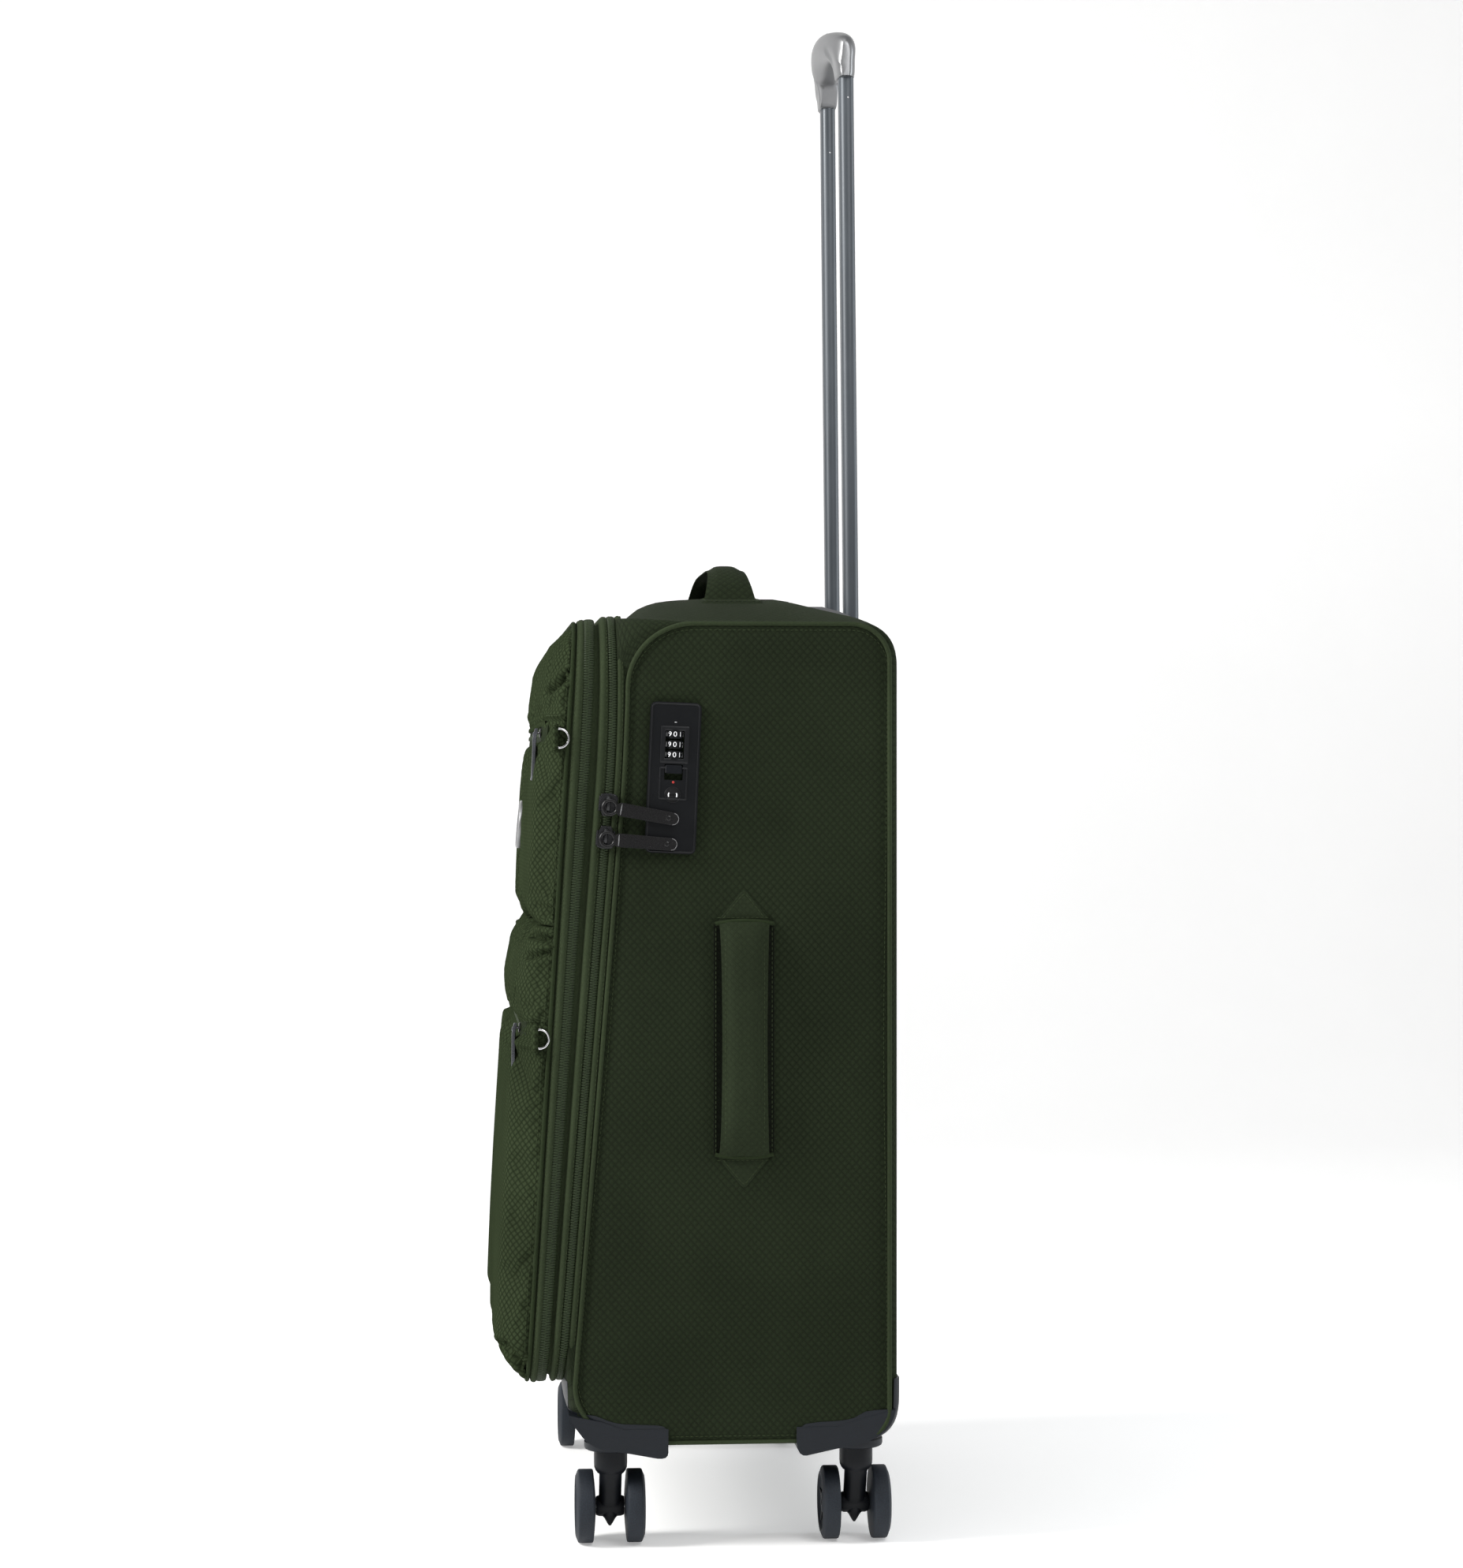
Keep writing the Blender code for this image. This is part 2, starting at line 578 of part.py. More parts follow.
def make_top_handle():
    """Padded grab strap that arches along X over the crown of the case."""
    reach, thickness = TOP_HANDLE_REACH, TOP_HANDLE_HALF_THICKNESS
    path = []
    for i in range(13):
        u = -1 + 2 * i / 12
        foot = abs(u) ** 5
        z = TOP_HANDLE_TOP_Z - thickness - (TOP_HANDLE_TOP_Z - thickness - TOP_HANDLE_FOOT_Z) * foot
        half = thickness - 0.0035 * foot
        lean = 0.9 * (u ** 5)
        path.append(((u * reach, TOP_HANDLE_Y, z), (lean, 0.0, 1.0), half))

    def width(t):
        return 0.028 + 0.012 * abs(2 * t - 1) ** 4

    solid("top_handle", strap_arch(path, width, (0, 1, 0)), "webbing", sharp=50)


def make_side_handle():
    """Padded grab strap along Z on the lock side."""
    half_length = SIDE_HANDLE_LENGTH / 2
    path = []
    for i in range(13):
        u = -1 + 2 * i / 12
        foot = abs(u) ** 8
        thick, thin = SIDE_HANDLE_HALF_THICKNESS
        half = thick - (thick - thin) * foot
        x = SIDE_HANDLE_OUT - half - (SIDE_HANDLE_OUT - HALF_WIDTH - GAP - 2 * thin - 0.0004) * foot
        path.append(((x, SIDE_HANDLE_Y, SIDE_HANDLE_Z + u * half_length), (1, 0, 0.5 * u ** 5), half))
    solid("side_handle", strap_arch(path, lambda t: SIDE_HANDLE_WIDTH, (0, 1, 0)), "webbing", sharp=50)


# ---------------------------------------------------------------- lock
def make_lock():
    """Lock plate with its housing, three number dials, the release button and the key cylinder."""
    frame = lock_frame()
    thick, width, length = LOCK_SIZE
    depth, housing_width, housing_length = LOCK_HOUSING
    plate = box((0, -width / 2, -length / 2), (thick, width / 2, length / 2), bevel=0.004, segments=3, edges=0)
    housing = box((-depth, -housing_width / 2, -housing_length / 2),
                  (thick / 2, housing_width / 2, housing_length / 2))
    fit = 0.0004
    window_low = DIAL_HEIGHTS[2] - DIAL_THICKNESS / 2 - fit
    window_high = DIAL_HEIGHTS[0] + DIAL_THICKNESS / 2 + fit
    window = box((-depth + 0.002, -DIAL_RADIUS - fit, window_low), (0.02, DIAL_RADIUS + fit, window_high))
    slot = box((-0.006, -0.0065, BUTTON_HEIGHT - 0.0055), (0.02, 0.0065, BUTTON_HEIGHT + 0.0055))
    key_hole = cylinder(KEY_RADIUS + GAP, 0.03, (0.005, 0, KEY_HEIGHT), "X", 24)
    body = combined(plate, ("UNION", housing), ("DIFFERENCE", window), ("DIFFERENCE", slot),
                    ("DIFFERENCE", key_hole))
    solid("lock_plate", placed(body, frame), "black_plastic")
    for index, height in enumerate(DIAL_HEIGHTS):
        centre = (-DIAL_DEPTH, 0, height)
        dial = cylinder(DIAL_RADIUS, DIAL_THICKNESS, centre, "Z", 20)
        joint = pivot("dial_axis_%d" % (index + 1), frame @ Vector(centre))
        solid("lock_dial_%d" % (index + 1), placed(dial, frame), "black_plastic", joint)
    button = box((-0.0055, -0.0060, BUTTON_HEIGHT - 0.0010), (thick + 0.0012, 0.0060, BUTTON_HEIGHT + 0.0050),
                 bevel=0.0006, segments=1)
    joint = pivot("button_slide", frame @ Vector((0, 0, BUTTON_HEIGHT)))
    solid("lock_button", placed(button, frame), "black_plastic", joint)
    cylinder_body = cylinder(KEY_RADIUS, 0.0120, (-0.0040, 0, KEY_HEIGHT), "X", 24)
    keyway = box((0.0005, -0.0032, KEY_HEIGHT - 0.0006), (0.01, 0.0032, KEY_HEIGHT + 0.0006))
    joint = pivot("key_axis", frame @ Vector((0, 0, KEY_HEIGHT)))
    solid("key_cylinder", placed(combined(cylinder_body, ("DIFFERENCE", keyway)), frame), "steel", joint)


# ---------------------------------------------------------------- zips
def zip_path(hinge_open, offset):
    """Points of the zip's outline with the hinge stretch left out, each with its outward direction."""
    low, high = ZIP_LOW_Z, ZIP_HIGH_Z
    sides = []
    for half_width in (CHAIN_OUT, CHAIN_IN):
        grow = half_width - RIM_HALF_WIDTH
        sides.append(outline(half_width, low - grow, high + grow, ZIP_LOW_RADIUS + grow, ZIP_HIGH_RADIUS + grow, 0.0))
    pairs = list(zip(*sides))
    if hinge_open:
        keep = [k for k, (point, _) in enumerate(pairs)
                if not (point[0] < -RIM_HALF_WIDTH and HINGE_LOW_Z < point[1] < HINGE_HIGH_Z)]
        gap_at = next(i for i in range(len(keep)) if keep[i] - keep[i - 1] > 1)
        keep = keep[gap_at:] + keep[:gap_at]
        pairs = [pairs[k] for k in keep]
    return [((x1, zip_line(z1) + offset, z1), (x0, zip_line(z1) + offset, z0)) for (x1, z1), (x0, z0) in pairs]


def chain(offset_low, offset_high, hinge_open):
    """A band between two offsets from the zip line, on the outside of the rims."""
    rings = []
    for (a, b), (c, d) in zip(zip_path(hinge_open, offset_low), zip_path(hinge_open, offset_high)):
        rings.append([a, c, d, b])
    return loft(rings, ends=hinge_open)


def make_main_zip(lid_joint):
    """The two halves of the main zip chain, one on the case and one on the lid."""
    solid("zip_chain_case", chain(GAP / 2, GAP / 2 + CHAIN_WIDTH, True), "zip_coil")
    solid("zip_chain_lid", chain(-GAP / 2 - CHAIN_WIDTH, -GAP / 2, True), "zip_coil", lid_joint)


def make_main_sliders():
    """Two sliders on the straight run of the main zip, with flat pulls parked on the lock plate."""
    back = HALF_WIDTH + 0.0005
    for name, height, drop in zip(("upper", "lower"), SLIDER_HEIGHTS, PULL_DROPS):
        y = zip_line(height)
        lean = Matrix.Translation((0, y, height)) @ Matrix.Rotation(-math.atan(ZIP_LEAN), 4, "X")
        slide = pivot("main_slider_%s_slide" % name, (back, y, height))
        body = box((back, -0.0045, -0.0065), (back + 0.0030, 0.0045, 0.0065), bevel=0.0012)
        bridge = box((back + 0.0020, -0.0016, -0.0045), (back + 0.0050, 0.0016, 0.0045), bevel=0.0007, segments=1)
        solid("main_slider_" + name, placed(combined(body, ("UNION", bridge)), lean), "gunmetal", slide)
        level = back + 0.0050 + GAP
        start = Vector((level + PULL_THICKNESS / 2, y - 0.0035, height - 0.001))
        tip = pull_outline(PULL_LENGTH, PULL_WIDTH)
        pull = prism(tip, -PULL_THICKNESS / 2, PULL_THICKNESS / 2, "X")
        hinge = pivot("main_pull_%s_hinge" % name, start, slide)
        solid("main_pull_" + name, placed(pull, Matrix.Translation(start) @ Matrix.Rotation(-drop, 4, "X")),
              "gunmetal", hinge)


def pull_outline(length, width, steps=5):
    """Flat pull as Y and Z, square at the hinge end and rounded at the tip."""
    radius = width / 2
    points = [(-0.0008, -radius * 0.8), (length * 0.2, -radius)]
    for i in range(steps + 1):
        angle = -math.pi / 2 + math.pi * i / steps
        points.append((length - radius - 0.0008 + radius * math.cos(angle), radius * math.sin(angle)))
    return points + [(length * 0.2, radius), (-0.0008, radius * 0.8)]


# ---------------------------------------------------------------- lid and pockets
def make_lid_shell(joint):
    """Tray behind the pockets, open towards the case."""
    shell = loft(list(reversed(lid_rings(0.0))) + lid_rings(LID_WALL))
    solid("lid_shell", shell, "plain_fabric", joint)


def make_expander_zip(joint):
    """Second zip, all round the lid, that lets its gusset unfold."""
    rings = []
    sides = []
    for grow in (EXPANDER_GROW, EXPANDER_GROW - EXPANDER_THICKNESS):
        sides.append(outline(RIM_HALF_WIDTH + grow, ZIP_LOW_Z - grow - 0.0005, ZIP_HIGH_Z + grow - 0.0013,
                             ZIP_LOW_RADIUS + grow, ZIP_HIGH_RADIUS + grow, 0.0))
    half = EXPANDER_HALF_WIDTH
    for (x1, z1), (x0, z0) in zip(*sides):
        y = zip_line(z1) + EXPANDER_AT * (lid_edge(z1) - zip_line(z1))
        rings.append([(x1, y - half, z1), (x1, y + half, z1), (x0, y + half, z0), (x0, y - half, z0)])
    solid("expander_zip", loft(rings, ends=False), "zip_coil", joint)


def lid_front(z):
    """Y of the lid's front panel at a height."""
    return lid_edge(z) - LID_FRONT_ROUND


def pocket_front(pocket, z):
    """Y of a pocket's flat front at a height."""
    return pocket["front"] + pocket["lean"] * (z - pocket["at"])


def make_pocket(name, pocket, joint, low_radius, high_radius):
    """Soft pocket with rounded flanks, standing on the lid's front panel."""
    rings = []
    for depth, shrink in ((0.0, 0.0), (0.30, 0.0005), (0.62, 0.004), (0.85, 0.011), (0.96, 0.018), (1.0, 0.025)):
        low, high = pocket["low"] + shrink * 0.8, pocket["high"] - shrink * 1.3
        points = []
        for x, z in outline(POCKET_HALF_WIDTH - shrink, low, high, low_radius, high_radius, 0.0, 4, 4, 3):
            base = lid_front(z) - GAP
            points.append((x, base + (pocket_front(pocket, z) - base) * depth, z))
        rings.append(points)
    solid(name, loft(rings), "ripstop", joint, sharp=60)


def make_badge(joint):
    """Blank metal plate in the middle of the upper pocket."""
    outline_xz = [(x, z + BADGE_Z) for x, z in stadium(BADGE_SIZE, 4)]

    def ring(offset):
        return [(x, pocket_front(UPPER_POCKET, z) - offset, z) for x, z in outline_xz]

    solid("badge_plate", loft([ring(GAP), ring(0.0022)]), "silver_plastic", joint)


def make_pocket_zip(name, pocket, joint):
    """Slider at the lock-side end of a pocket's zip, with a pull hanging from it."""
    height, x = pocket["at"], POCKET_SLIDER_X
    lean = Matrix.Rotation(-math.atan(pocket["lean"]), 4, "X")
    place = Matrix.Translation((x, pocket_front(pocket, height), height)) @ lean
    slide = pivot("%s_slider_slide" % name, place.translation, joint)
    body = box((-0.0055, -0.0030, -0.0035), (0.0055, -GAP, 0.0035), bevel=0.0010, segments=1)
    solid(name + "_slider", placed(body, place), "gunmetal", slide)
    hinge = pivot("%s_pull_hinge" % name, place @ Vector((0, sum(POCKET_PULL_Y) / 2, 0.002)), slide)
    outline_xz = [(a, -b) for b, a in pull_outline(*POCKET_PULL_SIZE)]
    pull = prism([(a, z + 0.002) for a, z in outline_xz], *POCKET_PULL_Y, "Y")
    solid(name + "_pull", placed(pull, place), "gunmetal", hinge)


def make_d_ring(name, place, joint):
    """Wire D ring hanging flat against the lid's side from a vertical bar."""
    radius, wire = D_RING_RADIUS, D_RING_WIRE
    hinge = pivot(name + "_hinge", place, joint)
    centre_line = [Vector((0, 0, -radius)), Vector((0, 0, 0)), Vector((0, 0, radius))]
    for i in range(1, 8):
        angle = math.pi / 2 - math.pi * i / 8
        centre_line.append(Vector((0, 0.0015 + radius * math.cos(angle), radius * math.sin(angle))))
    middle = sum(centre_line, Vector()) / len(centre_line)
    rings = []
    for point in centre_line:
        out = (point - middle).normalized()
        rings.append([Vector(place) + point + out * wire * math.cos(a) + Vector((1, 0, 0)) * wire * math.sin(a)
                      for a in [2 * math.pi * k / 6 for k in range(6)]])
    solid(name, loft(rings, ends=False), "steel", hinge, sharp=80)


# ---------------------------------------------------------------- telescopic handle
def make_trolley(joint):
    """Two inner tubes and the grip that joins them, with its push button."""
    for side, name in ((-1, "inner_tube_left"), (1, "inner_tube_right")):
        solid(name, tube_body(side, TUBE_SIZE, TUBE_WALL, INNER_TUBE_Z), "aluminium", joint)
    rings = []
    for i in range(2 * GRIP_STATIONS - 1):
        part = GRIP_PLACES[abs(i - GRIP_STATIONS + 1)]
        side = 1 if i >= GRIP_STATIONS else -1
        rings.append([(side * part[0], y, z) for y, z in grip_section(*part)])
    button_y = tube_at(GRIP_TOP_Z) - 0.004
    well = arched_bar(BUTTON_HALF + 0.0005, button_y, 0.0055, -0.0095, 0.013)
    solid("grip", combined(loft(rings), ("DIFFERENCE", well)), "silver_plastic", joint, sharp=50)
    press = pivot("grip_button_press", (0, button_y, GRIP_TOP_Z), joint)
    button = arched_bar(BUTTON_HALF, button_y, 0.0050, -0.0048, 0.0006)
    solid("grip_button", button, "silver_plastic", press)


def grip_top(x):
    """Height of the grip's arched top at a place along it."""
    return GRIP_TOP_Z - GRIP_ARCH * (x / TUBE_HALF_SPACING) ** 2


def arched_bar(half_length, middle, half_width, low, high):
    """A bar along X that follows the grip's arch, between two levels from the grip's top."""
    rings = []
    for i in range(5):
        x = half_length * (i - 2) / 2
        rings.append([(x, middle + dy, grip_top(x) + dz) for dy, dz in
                      ((-half_width, low), (half_width, low), (half_width, high), (-half_width, high))])
    return loft(rings)


def grip_section(x, sleeve, scale):
    """Side view of the grip as Y and Z: an arched bar, with the sleeves that take the tubes near its ends."""
    top = grip_top(x)
    nose = GRIP_NOSE - GRIP_BOW * (x / TUBE_HALF_SPACING) ** 2
    under = GRIP_LOW_Z * sleeve + (top - GRIP_DEPTH) * (1 - sleeve)
    y = tube_at(1.09)

    def between(bar, leg):
        return bar * (1 - sleeve) + leg * sleeve

    profile = [(between(0.0045, 0.0062), under), (0.0067, between(under + 0.0050, 1.0850)), (0.0073, top - 0.0125),
               (0.0068, top - 0.0070), (0.0045, top - 0.0022), (0.0, top), (-0.50 * nose, top - 0.0003),
               (-0.80 * nose, top - 0.0022), (-0.96 * nose, top - 0.0065), (-nose, top - 0.0110),
               (between(-0.94 * nose, -0.0092), between(top - 0.0165, top - 0.0190)),
               (between(-0.72 * nose, -0.0074), between(top - 0.0215, 1.0810)), (between(-0.30 * nose, -0.0062), under)]
    middle_y, middle_z = -0.3 * nose, (under + top) / 2
    return [(y + middle_y + (py - middle_y) * scale, middle_z + (pz - middle_z) * scale) for py, pz in profile]


# ---------------------------------------------------------------- casters
def fork_outline():
    """Side view of the caster fork as X and Z: from the collar down and back to the axle."""
    back = -CASTER_TRAIL
    return [(0.0085, 0.0545), (-0.0085, 0.0545), (back - 0.0070, 0.0440), (back - 0.0095, 0.0300),
            (back - 0.0065, 0.0160), (back - 0.0012, 0.0095), (back + 0.0045, 0.0125), (back + 0.0085, 0.0200),
            (0.0030, 0.0330), (0.0080, 0.0440)]


def make_caster(name, side, y):
    """Swivel fork under a corner guard, its axle, and two wheels that turn independently."""
    x = side * CASTER_X
    axle_x = x - CASTER_TRAIL
    swivel = pivot(name + "_swivel", (x, y, BOSS_LOW_Z))
    collar_top = BOSS_LOW_Z - GAP
    collar = cylinder(COLLAR_RADIUS, collar_top - COLLAR_LOW_Z, (x, y, (collar_top + COLLAR_LOW_Z) / 2))
    neck = prism([(x + a, b) for a, b in fork_outline()], y - HUB_RADIUS, y + HUB_RADIUS, "Y")
    hub = cylinder(HUB_RADIUS, 2 * (WHEEL_OFFSET - WHEEL_WIDTH / 2) - 0.0012, (axle_x, y, AXLE_Z), "Y", 16)
    bore = cylinder(AXLE_RADIUS + 0.00003, 0.05, (axle_x, y, AXLE_Z), "Y", 16)
    fork = combined(neck, ("UNION", collar), ("UNION", hub), ("DIFFERENCE", bore))
    solid(name + "_fork", fork, "black_plastic", swivel)
    axle_half = WHEEL_OFFSET + 0.0030
    axle = cylinder(AXLE_RADIUS, 2 * axle_half, (axle_x, y, AXLE_Z), "Y", 16)
    solid(name + "_axle", axle, "steel", swivel)
    for turn, label in ((-1, "wheel_front"), (1, "wheel_rear")):
        centre = (axle_x, y + turn * WHEEL_OFFSET, AXLE_Z)
        spin = pivot("%s_%s_spin" % (name, label), centre, swivel)
        solid("%s_%s" % (name, label), turned_y(wheel_profile(turn), centre, WHEEL_SEGMENTS), "tyre", spin)


def wheel_profile(turn):
    """Half section of a crowned wheel as radius and offset, with the dished face on the outer side."""
    half = WHEEL_WIDTH / 2
    bore = AXLE_RADIUS + 0.00006
    inner = [(bore, -half), (0.0222, -half), (WHEEL_RADIUS, -half * 0.40), (WHEEL_RADIUS, half * 0.30),
             (0.0225, half), (0.0185, half * 0.86), (0.0095, half * 0.45), (bore, half * 0.45)]
    return [(r, turn * offset) for r, offset in inner]


# ---------------------------------------------------------------- assembly
def build():
    """Make every sub-part of the suitcase."""
    make_case_shell()
    make_back_lining()
    make_packing_straps()
    for side, hand in ((1, "right"), (-1, "left")):
        for front, end in ((True, "front"), (False, "rear")):
            make_corner_guard("corner_guard_%s_%s" % (end, hand), side, front)
            make_caster("caster_%s_%s" % (end, hand), side, CASTER_Y[0] if front else CASTER_Y[1])
    make_outer_tubes()
    make_bezel()
    make_top_handle()
    make_side_handle()
    make_lock()
    lid_joint = pivot("lid_hinge", (HINGE_X, zip_line(HINGE_LOW_Z), HINGE_LOW_Z))
    make_main_zip(lid_joint)
    make_main_sliders()
    make_lid_shell(lid_joint)
    make_expander_zip(lid_joint)
    make_pocket("upper_pocket", UPPER_POCKET, lid_joint, 0.010, 0.035)
    make_pocket("lower_pocket", LOWER_POCKET, lid_joint, 0.030, 0.010)
    make_badge(lid_joint)
    make_pocket_zip("upper_pocket", UPPER_POCKET, lid_joint)
    make_pocket_zip("lower_pocket", LOWER_POCKET, lid_joint)
    make_d_ring("upper_d_ring", UPPER_D_RING, lid_joint)
    make_d_ring("lower_d_ring", LOWER_D_RING, lid_joint)
    make_trolley(pivot("trolley_slide", (0, TUBE_Y, TUBE_Y_AT)))


clear_scene()
PARTS = new_collection("suitcase")
build()
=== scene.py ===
import math

import bmesh
import bpy
import numpy as np
from mathutils import Matrix, Vector
from mathutils.bvhtree import BVHTree


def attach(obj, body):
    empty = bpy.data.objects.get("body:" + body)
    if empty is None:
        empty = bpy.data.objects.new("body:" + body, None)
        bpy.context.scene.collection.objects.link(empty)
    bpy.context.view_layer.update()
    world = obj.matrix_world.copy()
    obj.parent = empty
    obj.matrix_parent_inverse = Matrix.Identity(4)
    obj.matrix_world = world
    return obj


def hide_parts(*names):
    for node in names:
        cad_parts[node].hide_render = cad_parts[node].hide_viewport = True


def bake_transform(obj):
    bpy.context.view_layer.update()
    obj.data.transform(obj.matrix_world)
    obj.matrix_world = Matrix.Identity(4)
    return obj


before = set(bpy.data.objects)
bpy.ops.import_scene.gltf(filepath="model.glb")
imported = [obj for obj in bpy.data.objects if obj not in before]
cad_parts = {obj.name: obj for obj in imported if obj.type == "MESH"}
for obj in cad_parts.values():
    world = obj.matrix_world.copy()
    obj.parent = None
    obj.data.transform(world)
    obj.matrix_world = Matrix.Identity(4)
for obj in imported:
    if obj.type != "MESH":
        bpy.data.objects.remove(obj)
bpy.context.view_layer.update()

# ---------------------------------------------------------------- dimensions, in metres
HALF_WIDTH, RIM_HALF_WIDTH, WALL = 0.210, 0.2075, 0.003
BACK_Y, FLOOR_Z, SIDE_TOP_Z, CROWN = 0.1425, 0.0755, 0.6575, 0.0251
BACK_TOP_RADIUS, BACK_LOW_RADIUS, BACK_SIDE_RADIUS = 0.028, 0.024, 0.008
EDGE_RADIUS = 0.006                     # edge between a side panel and the top, under the piping
CAD_EDGE_RADIUS = 0.012
ZIP_TOP_Y, ZIP_LEAN, ZIP_KNEE_Z, ZIP_KNEE_LENGTH = -0.0605, 0.081, 0.61, 0.08
ZIP_LOW_Z, ZIP_HIGH_Z, ZIP_LOW_RADIUS, ZIP_HIGH_RADIUS = 0.118, 0.661, 0.040, 0.045
ZIP_HALF_GAP = 0.0025
HINGE_X, HINGE_LOW_Z, HINGE_HIGH_Z = -0.2105, 0.19, 0.53
LID_EDGE_Y, LID_EDGE_Z, LID_LEAN = -0.1045, 0.364, 0.0617
LID_HALF_WIDTH, LID_LOW_Z, LID_HIGH_Z = 0.2055, 0.1165, 0.6575
EXPANDER_AT = 0.60                      # the expander zip's place between the main zip and the lid edge
TOOTH_PITCH = 0.0019
TUBE_HALF_SPACING, TUBE_Y, TUBE_LEAN = 0.0625, 0.1255, -0.0094
GRIP_LOW_Z, GRIP_TOP_Z, GRIP_ARCH, GRIP_NOSE, GRIP_BOW, GRIP_DEPTH = 1.0732, 1.117, 0.010, 0.0180, 0.0075, 0.0235
GRIP_HALF, GRIP_END_ROUND, GRIP_TOP_ROUND = 0.0770, 0.0130, 0.0070
SLEEVE_FROM, SLEEVE_SPAN = 0.0420, 0.0120   # where the grip turns from an arched bar into its sleeves
TUBE_LENGTH, TUBE_WIDTH, TUBE_WALL = 0.0186, 0.0110, 0.0010
BUTTON_HALF = 0.0160
CASTER_X, CASTER_Y, CASTER_TRAIL = 0.186, (-0.061, 0.115), 0.011
WHEEL_RADIUS, WHEEL_WIDTH, WHEEL_OFFSET = 0.0264, 0.014, 0.0176
AXLE_Z = WHEEL_RADIUS * math.cos(math.pi / 20)
BOSS_LOW_Z, BORE_RADIUS = 0.0690, 0.0023
SIDE_HANDLE_Y, SIDE_HANDLE_Z, SIDE_HANDLE_HALF, HANDLE_SINK = 0.0324, 0.3622, 0.0825, 0.0050
TOP_HANDLE_Y, TOP_HANDLE_HALF, TOP_HANDLE_Z, TOP_HANDLE_FOOT_Z = 0.0308, 0.108, 0.7032, 0.6800
LOOP_BACK_Y, LOOP_FRONT_Y, LOOP_LOW_Z, LOOP_HIGH_Z = 0.1362, -0.0500, 0.0768, 0.6560    # piping of a side panel
PANEL_LOW_Z, PANEL_HIGH_Z, PANEL_MIDDLE = 0.0775, 0.6553, (0.0325, 0.36)
PRESSED = ((-0.018, 0.547, 0.019, 0.0545), (SIDE_HANDLE_Y, SIDE_HANDLE_Z, 0.0215, 0.083))   # middle and half size
LOCK_CENTRE, LOCK_TILT = Vector((0.2103, -0.018, 0.547)), math.radians(2.5)
DIAL_HEIGHTS, DIAL_RADIUS, DIAL_DEPTH = (0.0308, 0.0235, 0.0162), 0.0062, 0.0016
SLIDER_HEIGHTS = (0.528, 0.505)
PULL_DROPS = (math.radians(10.4), math.radians(4.5))
UPPER_ZIP = {"at": 0.579, "front": -0.1095, "lean": 0.0917, "seam": 0.5905}
LOWER_ZIP = {"at": 0.368, "front": -0.1245, "lean": 0.070, "seam": 0.3745}
POCKET_STEP, POCKET_COLUMNS = 0.0052, 57
CLOTH_STEPS, CLOTH_REACH = 22, 0.0045   # simulated frames, and how far a point of the cloth may move
MESH_POCKET_HALF, MESH_POCKET_LOW_Z, MESH_POCKET_HIGH_Z = 0.172, 0.150, 0.560
POCKET_SLIDER_X = 0.168
BADGE_Z = 0.512
EYE, EYE_YAW, LENS, SENSOR = (2.7016, -0.1813, 0.5427), math.radians(4.7), 81.04, 36.0
FLOOR_REACH, SWEEP_X, SWEEP_RADIUS, WALL_TOP_Z = 5.0, -2.6, 1.2, 4.5
FRONT_FLAT = 0.166                      # where the pocket fronts start to round into their flanks
ACROSS, DEEP, UP = Vector((1, 0, 0)), Vector((0, 1, 0)), Vector((0, 0, 1))

# front line of the two pockets in the middle of the case, from the top down, as Y and Z
UPPER_PROFILE = ((-0.0865, 0.6570), (-0.0910, 0.6545), (-0.0978, 0.6460), (-0.1022, 0.6380), (-0.1053, 0.6285),
                 (-0.1068, 0.6175), (-0.1083, 0.6080), (-0.1091, 0.5990), (-0.1118, 0.5900), (-0.1130, 0.5650),
                 (-0.1156, 0.5400), (-0.1175, 0.5100), (-0.1188, 0.4800), (-0.1194, 0.4600), (-0.1190, 0.4500),
                 (-0.1172, 0.4440), (-0.1110, 0.4425))
LOWER_PROFILE = ((-0.1110, 0.4415), (-0.1165, 0.4402), (-0.1190, 0.4360), (-0.1220, 0.4276), (-0.1252, 0.4120),
                 (-0.1277, 0.3990), (-0.1297, 0.3800), (-0.1308, 0.3580), (-0.1338, 0.3100), (-0.1367, 0.2620),
                 (-0.1392, 0.2140), (-0.1410, 0.1700), (-0.1418, 0.1500), (-0.1402, 0.1370), (-0.1355, 0.1265),
                 (-0.1290, 0.1190), (-0.1222, 0.1168))
# share of the crown's height along the front part of the top, from flat to rim
CROWN_SHARE = ((0.0, 0.21, 0.416, 0.543, 0.671, 0.771, 0.86, 1.0), (1.0, 0.95, 0.86, 0.74, 0.55, 0.28, 0.08, 0.0))


# ---------------------------------------------------------------- material nodes
def node(tree, kind, ins=None, **props):
    """A shader node; an input given as a socket is linked to it."""
    made = tree.nodes.new("ShaderNode" + kind)
    for key, value in props.items():
        setattr(made, key, value)
    for key, value in (ins or {}).items():
        if isinstance(value, bpy.types.NodeSocket):
            tree.links.new(value, made.inputs[key])
        else:
            made.inputs[key].default_value = value
    return made


def calc(tree, operation, *values):
    """The output of a Math node."""
    return node(tree, "Math", dict(enumerate(values)), operation=operation).outputs[0]


def ramp(tree, value, low, high, to_low, to_high):
    """A smooth step between two values."""
    ins = {"Value": value, "From Min": low, "From Max": high, "To Min": to_low, "To Max": to_high}
    return node(tree, "MapRange", ins, interpolation_type="SMOOTHSTEP").outputs["Result"]


def noise(tree, vector, scale, detail, stretch=None):
    """Noise between 0 and 1 over a coordinate, stretched along its axes if asked."""
    if stretch:
        vector = node(tree, "VectorMath", {0: vector, 1: stretch}, operation="MULTIPLY").outputs[0]
    return node(tree, "TexNoise", {"Vector": vector, "Scale": scale, "Detail": detail}).outputs[0]


